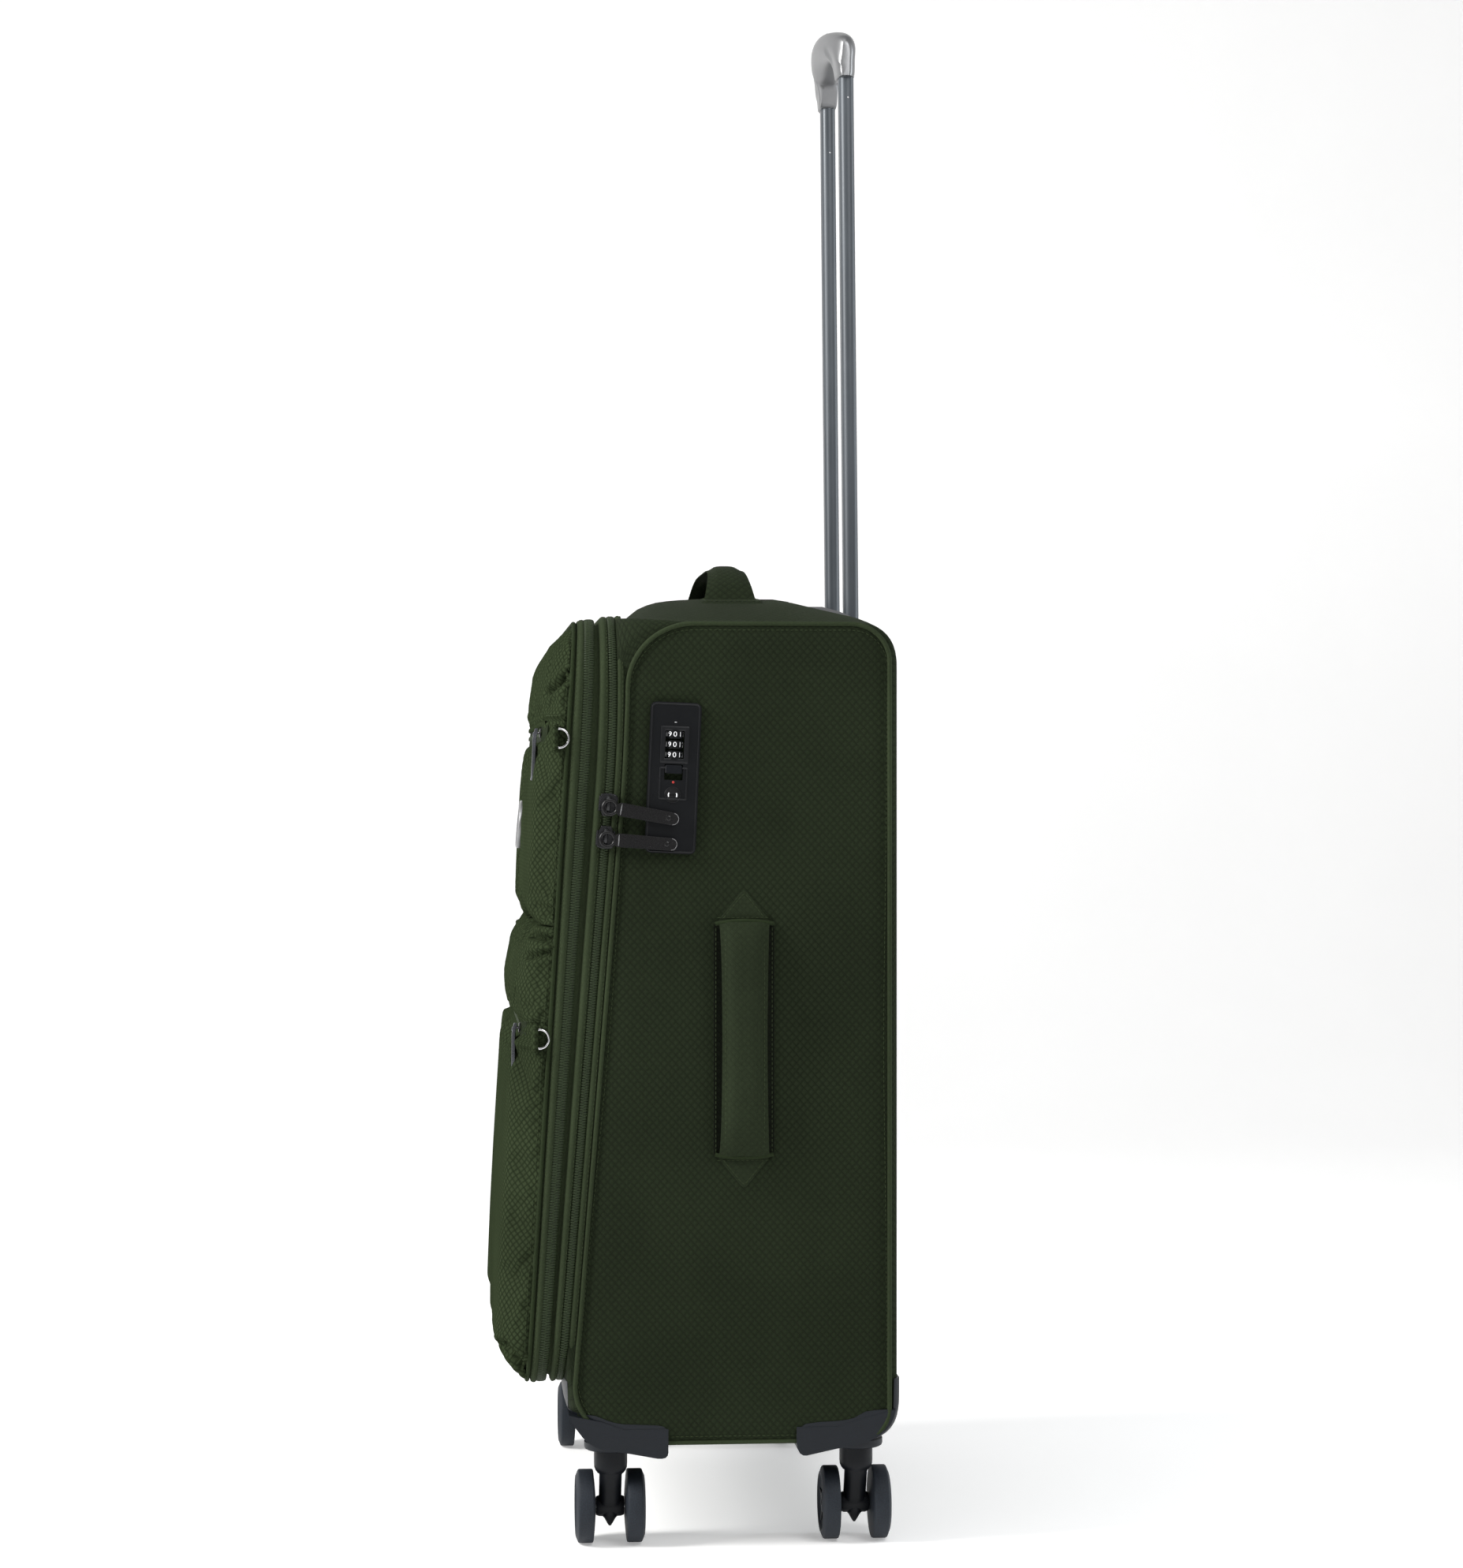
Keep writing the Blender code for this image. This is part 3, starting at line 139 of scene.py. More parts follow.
def new_look(name, rough, metal, specular=0.5, **values):
    """A material with its Principled shader's uniform values set on its own sockets."""
    made = bpy.data.materials.new(name)
    made.use_nodes = True
    tree = made.node_tree
    shader = tree.nodes["Principled BSDF"]
    shader.inputs["Roughness"].default_value = rough
    shader.inputs["Metallic"].default_value = metal
    shader.inputs["Specular IOR Level"].default_value = specular
    for key, value in values.items():
        shader.inputs[key.replace("_", " ")].default_value = value
    LOOKS[name] = made
    return tree, shader


def dress(tree, shader, colour, shade, height=None, distance=0.0003, strength=0.6, rough=None):
    """Colour times a shade value, with bump and roughness from values."""
    tint = node(tree, "VectorMath", {0: colour, "Scale": shade}, operation="SCALE").outputs[0]
    tree.links.new(tint, shader.inputs["Base Color"])
    if height is not None:
        bump = node(tree, "Bump", {"Strength": strength, "Distance": distance, "Height": height})
        tree.links.new(bump.outputs[0], shader.inputs["Normal"])
    if rough is not None:
        tree.links.new(rough, shader.inputs["Roughness"])


def fabric(name, colour, net=None, gain=0.3, dark=0.42, thread=0.0007, sheen=0.012, twill=False,
           relief=0.00035, specular=0.10):
    """Woven cloth over texture coordinates in metres, with an optional net of raised diamond ribs: painted highlight
    on the rib tops (gain) and painted shade beside them (dark).
    """
    tree, shader = new_look(name, 0.82, 0.0, specular, Sheen_Weight=sheen, Sheen_Roughness=0.45,
                            Sheen_Tint=(0.62, 0.75, 0.50, 1.0))
    place = node(tree, "TexCoord").outputs["Object"]
    uv = node(tree, "SeparateXYZ", {0: node(tree, "UVMap", uv_map="UVMap").outputs[0]}).outputs
    turn = 2 * math.pi / thread
    if twill:
        weave = calc(tree, "SINE", calc(tree, "MULTIPLY", calc(tree, "ADD", uv[0], uv[1]), turn))
    else:
        weave = calc(tree, "MULTIPLY", calc(tree, "SINE", calc(tree, "MULTIPLY", uv[0], turn)),
                     calc(tree, "SINE", calc(tree, "MULTIPLY", uv[1], turn)))
    shade = calc(tree, "MULTIPLY_ADD", weave, 0.07, 1.0)
    height = calc(tree, "MULTIPLY", weave, 0.16)
    broad = ramp(tree, noise(tree, place, 11.0, 3.0), 0.3, 0.7, 0.90, 1.10)
    fine = ramp(tree, noise(tree, place, 700.0, 1.0), 0.25, 0.75, 0.90, 1.10)
    shade = calc(tree, "MULTIPLY", calc(tree, "MULTIPLY", shade, broad), fine)
    if net:
        across = calc(tree, "MULTIPLY", uv[0], 1 / net[0])
        along = calc(tree, "MULTIPLY", uv[1], 1 / net[1])
        gaps = []
        for operation in ("ADD", "SUBTRACT"):
            cell = calc(tree, "FRACT", calc(tree, operation, across, along))
            centred = calc(tree, "ABSOLUTE", calc(tree, "SUBTRACT", cell, 0.5))
            gaps.append(calc(tree, "MULTIPLY_ADD", centred, -2.0, 1.0))
        nearest = calc(tree, "MINIMUM", *gaps)
        # core: rib tops made lighter by gain, a painted highlight; flank: painted shade beside the ribs, by dark;
        # knot: darker again round the rib crossings
        core = ramp(tree, nearest, 0.0, 0.20, 1.0, 0.0)
        flank = ramp(tree, nearest, 0.14, 0.55, 1.0, 0.0)
        knot = ramp(tree, calc(tree, "MAXIMUM", *gaps), 0.10, 0.42, 1.0, 0.0)
        shade = calc(tree, "MULTIPLY", shade, calc(tree, "MULTIPLY_ADD", core, gain, 1.0))
        shade = calc(tree, "MULTIPLY", shade, calc(tree, "MULTIPLY_ADD", flank, -dark, 1.0))
        shade = calc(tree, "MULTIPLY", shade, calc(tree, "MULTIPLY_ADD", knot, -0.55 * dark, 1.0))
        height = calc(tree, "ADD", height, calc(tree, "SUBTRACT", core, calc(tree, "MULTIPLY", flank, 0.45)))
    dress(tree, shader, colour, shade, height, relief, 0.75)


def hard(name, colour, rough, metal=0.0, grain=1500.0, shade=0.10, relief=0.00004, stretch=None, **values):
    """Moulded plastic, paint or metal with a fine grain and slightly uneven gloss."""
    tree, shader = new_look(name, rough, metal, **values)
    place = node(tree, "TexCoord").outputs["Object"]
    grit = noise(tree, place, grain, 2.0, stretch)
    cloud = noise(tree, place, 24.0, 2.0)
    tone = calc(tree, "MULTIPLY", ramp(tree, grit, 0.25, 0.75, 1 - shade, 1 + shade),
                ramp(tree, cloud, 0.3, 0.7, 0.95, 1.05))
    gloss = calc(tree, "ADD", ramp(tree, grit, 0.2, 0.8, rough - 0.06, rough + 0.06),
                 ramp(tree, cloud, 0.3, 0.7, -0.02, 0.02))
    dress(tree, shader, colour, tone, grit, relief, 0.5, gloss)


def make_looks():
    """Every material of the suitcase, the floor's apart."""
    fabric("side_weave", (0.0152, 0.0214, 0.0106), net=(0.00535, 0.00595), gain=0.20, dark=0.30, specular=0.05)
    fabric("pocket_weave", (0.0270, 0.0370, 0.0185), net=(0.0054, 0.0051), gain=0.10, dark=0.42, specular=0.0,
           sheen=0.0)
    fabric("band_weave", (0.0250, 0.0345, 0.0172), thread=0.0009, specular=0.05)
    fabric("cord_weave", (0.0170, 0.0250, 0.0110), thread=0.0008, specular=0.05)
    fabric("zip_tape", (0.0120, 0.0175, 0.0080), thread=0.0006, specular=0.05)
    fabric("strap_weave", (0.0190, 0.0262, 0.0135), net=(0.0054, 0.0056), gain=0.30, dark=0.18, specular=0.05)
    # stitched backing patch under the side handle, its dark colour painted shade of the recess round the strap
    fabric("backing_patch_painted_shade", (0.0065, 0.0085, 0.0050), net=(0.0056, 0.0064), gain=0.1, dark=0.2, specular=0.05)
    fabric("webbing", (0.0150, 0.0200, 0.0110), thread=0.0022, twill=True, relief=0.0004)
    fabric("lining", (0.040, 0.042, 0.044), thread=0.0008)
    fabric("mesh_lining", (0.030, 0.031, 0.033), net=(0.0030, 0.0034), gain=0.9, dark=0.85)
    fabric("thread", (0.034, 0.047, 0.022), thread=0.0004, relief=0.0001)
    hard("zip_teeth", (0.0175, 0.0270, 0.0110), 0.55, grain=900, shade=0.25, specular=0.16)
    hard("guard_plastic", (0.0058, 0.0080, 0.0115), 0.50, grain=1400, shade=0.16, relief=0.00012, specular=0.25)
    hard("black_plastic", (0.0036, 0.0045, 0.0062), 0.42, grain=1800, shade=0.12, relief=0.00005, specular=0.16)
    hard("lock_plastic", (0.0042, 0.0048, 0.0058), 0.40, grain=2000, shade=0.10, relief=0.00003, specular=0.16)
    hard("lock_frame", (0.0060, 0.0066, 0.0078), 0.36, grain=1800, shade=0.08, specular=0.25)
    hard("tyre", (0.0160, 0.0200, 0.0265), 0.62, grain=1200, shade=0.22, relief=0.00018, specular=0.22)
    hard("silver_plastic", (0.215, 0.218, 0.224), 0.37, 0.75, grain=2600, shade=0.06, relief=0.00003)
    hard("bezel_plastic", (0.160, 0.162, 0.168), 0.42, 0.30, grain=2200, shade=0.08, relief=0.00004)
    hard("tube_metal", (0.058, 0.067, 0.077), 0.42, 0.30, grain=420, shade=0.05, relief=0.00001,
         stretch=(1.0, 1.0, 0.012))
    hard("gunmetal", (0.018, 0.0185, 0.020), 0.26, 0.40, grain=1400, shade=0.06, relief=0.00001)
    hard("pull_metal", (0.0060, 0.0058, 0.0062), 0.30, 0.0, grain=1600, shade=0.05, relief=0.00001, specular=0.30)
    hard("grey_metal", (0.110, 0.115, 0.128), 0.30, 0.80, grain=1400, shade=0.06, relief=0.00001)
    hard("key_metal", (0.010, 0.010, 0.011), 0.30, 0.2, grain=1400, shade=0.08, relief=0.00002)
    hard("steel", (0.55, 0.55, 0.56), 0.22, 1.0, grain=1400, shade=0.08, relief=0.00002)
    hard("white_print", (0.80, 0.81, 0.83), 0.5, grain=1500, shade=0.06)
    hard("red_print", (0.35, 0.020, 0.015), 0.5, grain=1500, shade=0.06)


# ---------------------------------------------------------------- mesh building
def around(count):
    """Angles spaced evenly round a circle."""
    return [2 * math.pi * k / count for k in range(count)]


def discs(levels, centre, count, axis="X"):
    """Rings of a stepped round body along an axis: each level has its place and its radius, or its two radii."""
    rings = []
    for level, *radii in levels:
        ring = [(centre[0] + radii[0] * math.cos(a), centre[1] + radii[-1] * math.sin(a)) for a in around(count)]
        rings.append([(level, a, b) if axis == "X" else (a, b, level) for a, b in ring])
    return rings


def catmull(a, b, c, d, t):
    """A point between b and c on the smooth curve through four points."""
    return 0.5 * (2 * b + (c - a) * t + (2 * a - 5 * b + 4 * c - d) * t ** 2 + (3 * b - a - 3 * c + d) * t ** 3)


class Form:
    """Points, faces, texture coordinates in metres and material numbers of one piece."""

    def __init__(self):
        self.points, self.faces, self.uvs, self.looks = [], [], [], []

    def grid(self, rows, look=0, close_rows=False, close_cols=False, uv=None):
        """Quads over rows of points, with texture coordinates given or taken from running lengths."""
        rows = np.asarray(rows, float)
        count, width = rows.shape[:2]
        around = np.concatenate([rows, rows[:, :1]], 1) if close_cols else rows
        along = np.concatenate([rows, rows[:1]], 0) if close_rows else rows
        u = np.cumsum(np.linalg.norm(np.diff(around, axis=1), axis=2).mean(0))
        v = np.cumsum(np.linalg.norm(np.diff(along, axis=0), axis=2).mean(1))
        u, v = np.concatenate([[0], u]), np.concatenate([[0], v])
        if uv is None:
            uv = np.stack(np.meshgrid(u - u[len(u) // 2], v - v[len(v) // 2]), 2)
        first = len(self.points)
        self.points.extend(map(tuple, rows.reshape(-1, 3)))
        for i in range(count - (not close_rows)):
            below = (i + 1) % count
            for j in range(width - (not close_cols)):
                k = (j + 1) % width
                self.faces.append((first + i * width + j, first + i * width + k,
                                   first + below * width + k, first + below * width + j))
                self.uvs.extend((uv[i][j], uv[i][j + 1], uv[i + 1][j + 1], uv[i + 1][j]))
                self.looks.append(look(i, j) if callable(look) else look)
        return self

    def cap(self, ring, look=0):
        """One flat face over a ring of points."""
        first = len(self.points)
        self.points.extend(map(tuple, ring))
        self.faces.append(tuple(range(first, first + len(ring))))
        spans = np.ptp(np.asarray(ring, float), axis=0)
        a, b = sorted(np.argsort(spans)[1:])
        self.uvs.extend((p[a], p[b]) for p in ring)
        self.looks.append(look)
        return self

    def rod(self, rows, look=0):
        """A closed skin over rings of points, with its two ends filled."""
        rows = np.asarray(rows, float)
        return self.grid(rows, look, close_cols=True).cap(rows[0], look).cap(rows[-1], look)

    def tube(self, path, radius, look=0, sides=8, closed=False, flat=1.0, normal=UP):
        """A round or flattened cord along a path."""
        path = [Vector(p) for p in path]
        rows = []
        for i, point in enumerate(path):
            before = path[i - 1] if i or closed else point
            after = path[(i + 1) % len(path)] if i + 1 < len(path) or closed else point
            along = (after - before).normalized()
            side = along.cross(normal).normalized()
            top = side.cross(along)
            rows.append([point + side * (math.cos(a) * radius) + top * (math.sin(a) * radius * flat)
                         for a in around(sides)])
        return self.grid(rows, look, True, True) if closed else self.rod(rows, look)

    def solid(self, bm, look=0):
        """The faces of a bmesh, which is freed."""
        first = len(self.points)
        bm.verts.index_update()
        self.points.extend(tuple(v.co) for v in bm.verts)
        for face in bm.faces:
            self.faces.append(tuple(first + v.index for v in face.verts))
            self.uvs.extend((v.co.y, v.co.z) for v in face.verts)
            self.looks.append(look)
        bm.free()
        return self

    def move(self, matrix):
        """All points moved by a matrix."""
        self.points = [tuple(matrix @ Vector(p)) for p in self.points]
        return self

    def item(self, name, looks, sharp=40, merge=True):
        """The form as a mesh object."""
        mesh = bpy.data.meshes.new(name)
        mesh.from_pydata(self.points, [], self.faces)
        layer = mesh.uv_layers.new(name="UVMap")
        layer.data.foreach_set("uv", np.asarray(self.uvs, np.float32).ravel())
        mesh.polygons.foreach_set("material_index", self.looks)
        bm = bmesh.new()
        bm.from_mesh(mesh)
        if merge:
            bmesh.ops.remove_doubles(bm, verts=bm.verts[:], dist=1e-6)
        bmesh.ops.recalc_face_normals(bm, faces=bm.faces[:])
        bm.to_mesh(mesh)
        bm.free()
        for look in looks:
            mesh.materials.append(LOOKS[look])
        mesh.shade_smooth()
        mesh.set_sharp_from_angle(angle=math.radians(sharp))
        made = bpy.data.objects.new(name, mesh)
        bpy.context.scene.collection.objects.link(made)
        return made

    def piece(self, name, body, slot, looks, replaces=(), sharp=40, merge=True):
        """The form as a piece that rides on a body; its slot is not used."""
        return settle(self.item(name, looks, sharp, merge), body, replaces)


def settle(item, body, replaces=()):
    """An object in place becomes a piece on a body."""
    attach(item, body)
    if replaces:
        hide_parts(*replaces)
    return item


def thicken(item, amount, offset=-1.0):
    """A cloth sheet gets its thickness, inward for a negative offset."""
    change = item.modifiers.new("thickness", "SOLIDIFY")
    change.thickness, change.offset = amount, offset
    return item


def soften(item, width, segments=2, angle=35):
    """Rounded edges on a hard piece."""
    change = item.modifiers.new("edges", "BEVEL")
    change.width, change.segments, change.limit_method = width, segments, "ANGLE"
    change.angle_limit, change.harden_normals = math.radians(angle), True
    return item


def carved(item, *cuts):
    """An object after boolean cuts with other objects, which are used up."""
    for tool, operation in cuts:
        change = item.modifiers.new("cut", "BOOLEAN")
        change.operation, change.solver, change.object = operation, "EXACT", tool
    bpy.context.view_layer.update()
    cut = bpy.data.meshes.new_from_object(item.evaluated_get(bpy.context.evaluated_depsgraph_get()))
    item.modifiers.clear()
    item.data = cut
    for tool, _ in cuts:
        bpy.data.objects.remove(tool, do_unlink=True)
    return item


def block(low, high, bevel=0.0, segments=3):
    """A box with rounded edges as a bmesh."""
    low, high = Vector(low), Vector(high)
    bm = bmesh.new()
    bmesh.ops.create_cube(bm, size=1.0)
    place = Matrix.Translation((low + high) / 2) @ Matrix.Diagonal((*(high - low), 1.0))
    bmesh.ops.transform(bm, matrix=place, verts=bm.verts[:])
    if bevel:
        bmesh.ops.bevel(bm, geom=bm.edges[:], offset=bevel, segments=segments, profile=0.5, affect="EDGES")
    return bm


def lathe(profile, centre, segments):
    """Rows of a (radius, offset) profile turned about a wheel's axle, which lies along Y."""
    rows = []
    for i in range(segments):
        a = 2 * math.pi * (i + 0.5) / segments
        rows.append([Vector(centre) + Vector((r * math.cos(a), o, r * math.sin(a))) for r, o in profile])
    return rows


def slab(outline, low, high, round_edge):
    """Rings that push an outline of (a, b) from one level to another, with rounded edges; level is X."""
    centre = np.mean(outline, axis=0)
    turns = [math.pi / 2 * k / 3 for k in range(4)]
    levels = [(low + round_edge * (1 - math.cos(a)), round_edge * (1 - math.sin(a))) for a in turns]
    levels += [(high - round_edge * (1 - math.sin(a)), round_edge * (1 - math.cos(a))) for a in turns]
    rings = []
    for level, inset in levels:
        ring = []
        for point in outline:
            away = np.array(point) - centre
            a, b = centre + away * (1 - inset / max(np.linalg.norm(away), 1e-6))
            ring.append((level, a, b))
        rings.append(ring)
    return rings


def stadium(length, width, steps=10):
    """A flat oval outline, longer along its first coordinate."""
    radius, points = width / 2, []
    for side in (1, -1):
        for i in range(steps + 1):
            a = side * (-math.pi / 2 + math.pi * i / steps)
            points.append((side * (length / 2 - radius) + side * radius * math.cos(a), radius * math.sin(a)))
    return points


def rounded(width, height, radius, steps=5):
    """A rounded rectangle outline about the origin."""
    points = []
    for cx, cy, start in ((1, -1, -90), (1, 1, 0), (-1, 1, 90), (-1, -1, 180)):
        for i in range(steps + 1):
            a = math.radians(start + 90 * i / steps)
            points.append((cx * (width / 2 - radius) + radius * math.cos(a),
                           cy * (height / 2 - radius) + radius * math.sin(a)))
    return points


def resample(points, step, closed=False, axes=3):
    """Evenly spaced points along a polyline, measured over its first axes."""
    points = np.asarray(points, float)
    if closed:
        points = np.concatenate([points, points[:1]])
    length = np.concatenate([[0], np.cumsum(np.linalg.norm(np.diff(points[:, :axes], axis=0), axis=1))])
    count = max(2, int(round(length[-1] / step)))
    wanted = np.linspace(0, length[-1], count, endpoint=not closed)
    return np.stack([np.interp(wanted, length, points[:, k]) for k in range(points.shape[1])], 1)


def stitches(form, path, normals, look=0, length=0.0022, gap=0.0012):
    """A row of thread stitches along a path, standing on a surface with one normal, or one for each point."""
    radius, path = 0.00024, np.asarray(path, float)
    normals = np.broadcast_to(np.asarray(normals, float), path.shape)
    steps = np.concatenate([[0], np.cumsum(np.linalg.norm(np.diff(path, axis=0), axis=1))])
    for start in np.arange(0, steps[-1] - length, length + gap):
        rows = []
        for t, lift, size in ((0.0, -0.3, 0.55), (0.25, 0.6, 1.0), (0.75, 0.6, 1.0), (1.0, -0.3, 0.55)):
            at = start + length * t
            point = Vector([np.interp(at, steps, path[:, k]) for k in range(3)])
            out = Vector([np.interp(at, steps, normals[:, k]) for k in range(3)]).normalized()
            ahead = Vector([np.interp(at + 1e-4, steps, path[:, k]) for k in range(3)]) - point
            if ahead.length < 1e-7:
                ahead = point - Vector([np.interp(at - 1e-4, steps, path[:, k]) for k in range(3)])
            side = ahead.normalized().cross(out)
            centre = point + out * radius * lift
            rows.append([centre + (side * math.cos(a) + out * math.sin(a)) * radius * size
                         for a in around(6)])
        form.rod(rows, look)
    return form


# ---------------------------------------------------------------- case shape
def zip_line(z):
    """Y of the main zip at a height."""
    drop = max(0.0, ZIP_KNEE_Z - z)
    if drop < ZIP_KNEE_LENGTH:
        return ZIP_TOP_Y - ZIP_LEAN * drop * drop / (2 * ZIP_KNEE_LENGTH)
    return ZIP_TOP_Y - ZIP_LEAN * (drop - ZIP_KNEE_LENGTH / 2)


def lid_edge(z):
    """Y of the lid's outer edge at a height."""
    return LID_EDGE_Y + LID_LEAN * (z - LID_EDGE_Z)


def quarter(amount):
    """How far a quarter circle has dropped at a fraction of its radius."""
    amount = min(1.0, max(0.0, amount))
    return 1.0 - math.sqrt(max(0.0, 1.0 - amount * amount))


def outline(half_width, low, high, low_radius, high_radius, crown):
    """A rounded rectangle in X and Z with a crowned top, anticlockwise from the bottom middle."""
    corner, side, top = 10, 44, 26      # how many steps each part has
    flat = half_width - low_radius
    right = [(flat * i / 16, low) for i in range(16)]
    for i in range(corner + 1):
        a = -math.pi / 2 * (1 - i / corner)
        right.append((flat + low_radius * math.cos(a), low + low_radius + low_radius * math.sin(a)))
    span = high - high_radius - (low + low_radius)
    right += [(half_width, low + low_radius + span * i / side) for i in range(1, side)]
    for i in range(corner + 1):
        a = math.pi / 2 * i / corner
        right.append((half_width - high_radius + high_radius * math.cos(a),
                      high - high_radius + high_radius * math.sin(a)))
    flat = half_width - high_radius
    for i in range(1, top):
        x = flat * (1 - i / top)
        right.append((x, high + crown * (1 - (x / flat) ** 2.5)))
    return right + [(0.0, high + crown)] + [(-x, z) for x, z in reversed(right[1:])]


MID_RIM_Y = zip_line(0.37) + ZIP_HALF_GAP
ROUND_LOW, ROUND_HIGH = 0.042, 0.045    # depth over which the case rounds in towards the zip


def case_ring(y, inset, edge=EDGE_RADIUS):
    """One closed section of the case at a depth, on a skin that lies inside the outer one."""
    back = BACK_Y - inset
    front = min(1.0, max(0.0, y / MID_RIM_Y)) if y < 0 else 0.0
    deep = -MID_RIM_Y
    round_low = quarter((front * deep - deep + ROUND_LOW) / ROUND_LOW) if front else 0.0
    round_high = quarter((front * deep - deep + ROUND_HIGH) / ROUND_HIGH) if front else 0.0
    top_back = quarter((y - back + BACK_TOP_RADIUS) / BACK_TOP_RADIUS) * BACK_TOP_RADIUS
    low_back = quarter((y - back + BACK_LOW_RADIUS) / BACK_LOW_RADIUS) * BACK_LOW_RADIUS
    side_back = quarter((y - back + BACK_SIDE_RADIUS) / BACK_SIDE_RADIUS) * BACK_SIDE_RADIUS
    smooth = front * front * (3 - 2 * front)
    crown = CROWN * np.interp(front, *CROWN_SHARE) * (1 - 0.62 * min(1.0, max(0.0, (y - 0.065) / 0.06)))
    half_width = HALF_WIDTH - inset - side_back - (HALF_WIDTH - RIM_HALF_WIDTH) * front ** 4
    low = FLOOR_Z + inset + (ZIP_LOW_Z - FLOOR_Z) * round_low + low_back
    high = SIDE_TOP_Z - inset + (ZIP_HIGH_Z - SIDE_TOP_Z) * smooth - top_back
    high_radius = max(0.003, edge + (ZIP_HIGH_RADIUS - edge) * round_high - inset)
    low_radius = max(0.003, edge + (ZIP_LOW_RADIUS - edge) * round_low - inset)
    depth = (y - MID_RIM_Y) / (back - MID_RIM_Y)
    points = []
    for x, z in outline(half_width, low, high, low_radius, high_radius, crown):
        rim_y = zip_line(z) + ZIP_HALF_GAP
        points.append((x, rim_y + (back - rim_y) * depth, z))
    return points


def case_rings(inset, edge=EDGE_RADIUS):
    """Sections from the rim at the zip to the back panel."""
    back = BACK_Y - inset
    shares = (0, 0.02, 0.05, 0.09, 0.14, 0.2, 0.27, 0.35, 0.44, 0.54, 0.65, 0.78, 0.9)
    stations = [MID_RIM_Y * (1 - t) for t in shares]
    stations += [0.0, 0.012, 0.024, 0.036, 0.048, 0.06, 0.072, 0.084, 0.096, 0.106]
    stations += [back - BACK_TOP_RADIUS * (1 - math.sin(math.radians(a))) for a in range(0, 91, 9)]
    return [case_ring(y, inset, edge) for y in stations]


def rim_path(step):
    """Evenly spaced (x, z, outward x, outward z) round the zip's outline."""
    dense = []
    for sx, z, radius, start in ((1, ZIP_LOW_Z, ZIP_LOW_RADIUS, -90), (1, ZIP_HIGH_Z, ZIP_HIGH_RADIUS, 0),
                                 (-1, ZIP_HIGH_Z, ZIP_HIGH_RADIUS, 90), (-1, ZIP_LOW_Z, ZIP_LOW_RADIUS, 180)):
        level = z + radius if z == ZIP_LOW_Z else z - radius
        for k in range(31):
            a = math.radians(start + 3 * k)
            dense.append((sx * (RIM_HALF_WIDTH - radius) + radius * math.cos(a), level + radius * math.sin(a),
                          math.cos(a), math.sin(a)))
    return resample(dense, step=step, closed=True, axes=2)


def on_rim(station, between, dy, out):
    """A point beside the zip: a share of the way to the lid edge, then an offset in depth and outward."""
    x, z, nx, nz = station
    shrink = -0.0020 * abs(nx) + (-0.0035 if nz > 0 else 0.0015) * abs(nz)
    reach = out + shrink * between
    return (x + nx * reach, zip_line(z) * (1 - between) + lid_edge(z) * between + dy, z + nz * reach)


def in_hinge(station):
    """Whether a place on the rim lies on the cloth hinge."""
    return station[0] < -RIM_HALF_WIDTH + 0.001 and HINGE_LOW_Z - 0.004 < station[1] < HINGE_HIGH_Z + 0.004


# ---------------------------------------------------------------- case cloth
def make_case():
    """Padded cloth case with its lining, and a tree for finding places on its outside."""
    form = Form().grid(case_rings(0.0), 0, close_cols=True)
    outer_back = form.points[-len(case_ring(0, 0)):]
    form.cap(outer_back, 0)
    inner = case_rings(WALL)
    form.grid(inner, 1, close_cols=True).cap(inner[-1], 1)
    form.grid([case_rings(0.0)[0], inner[0]], 1, close_cols=True)
    tree = BVHTree.FromPolygons([Vector(p) for p in form.points], form.faces)
    case = form.item("case_cloth", ["side_weave", "lining"], 50)
    cutter = Form().solid(block((-0.1003, 0.0757, 0.6402), (0.1003, 0.16, 0.72))).item("bezel_cut", ["side_weave"])
    settle(carved(case, (cutter, "DIFFERENCE")), "case", ["case_shell"])
    return tree


def side_loop(step):
    """The piping's line round a side panel as (y, z), from the bottom front corner, anticlockwise in Y and Z."""
    dense = []
    for cy, cz, radius, start in ((LOOP_BACK_Y - 0.022, LOOP_LOW_Z + 0.022, 0.022, -90),
                                  (LOOP_BACK_Y - 0.0265, LOOP_HIGH_Z - 0.0265, 0.0265, 0),
                                  (LOOP_FRONT_Y + 0.046, LOOP_HIGH_Z - 0.046, 0.046, 90)):
        for k in range(19):
            a = math.radians(start + 5 * k)
            dense.append((cy + radius * math.cos(a), cz + radius * math.sin(a)))
    top = dense[-1][1]
    for k in range(1, 60):
        z = top + (ZIP_LOW_Z - top) * k / 60
        dense.append((zip_line(z) + 0.0100 + 0.0006 * math.exp(-((z - top) / 0.02) ** 2), z))
    y, z = zip_line(ZIP_LOW_Z) + 0.0100, ZIP_LOW_Z
    for k in range(16):
        a = math.pi / 2 * k / 15
        dense.append((y + 0.044 * (1 - math.cos(a)), z - 0.0412 * math.sin(a)))
    return resample(dense, step=step, closed=True)


def side_place(tree, side, y, z):
    """The case's outer surface at a side, and its outward normal."""
    hit, normal, _, _ = tree.ray_cast(Vector((side * 0.3, y, z)), Vector((-side, 0, 0)), 0.2)
    if hit is None:
        return Vector((side * 0.204, y, z)), Vector((side, 0, 0))
    if normal.x * side < 0:
        normal = -normal
    return hit, normal


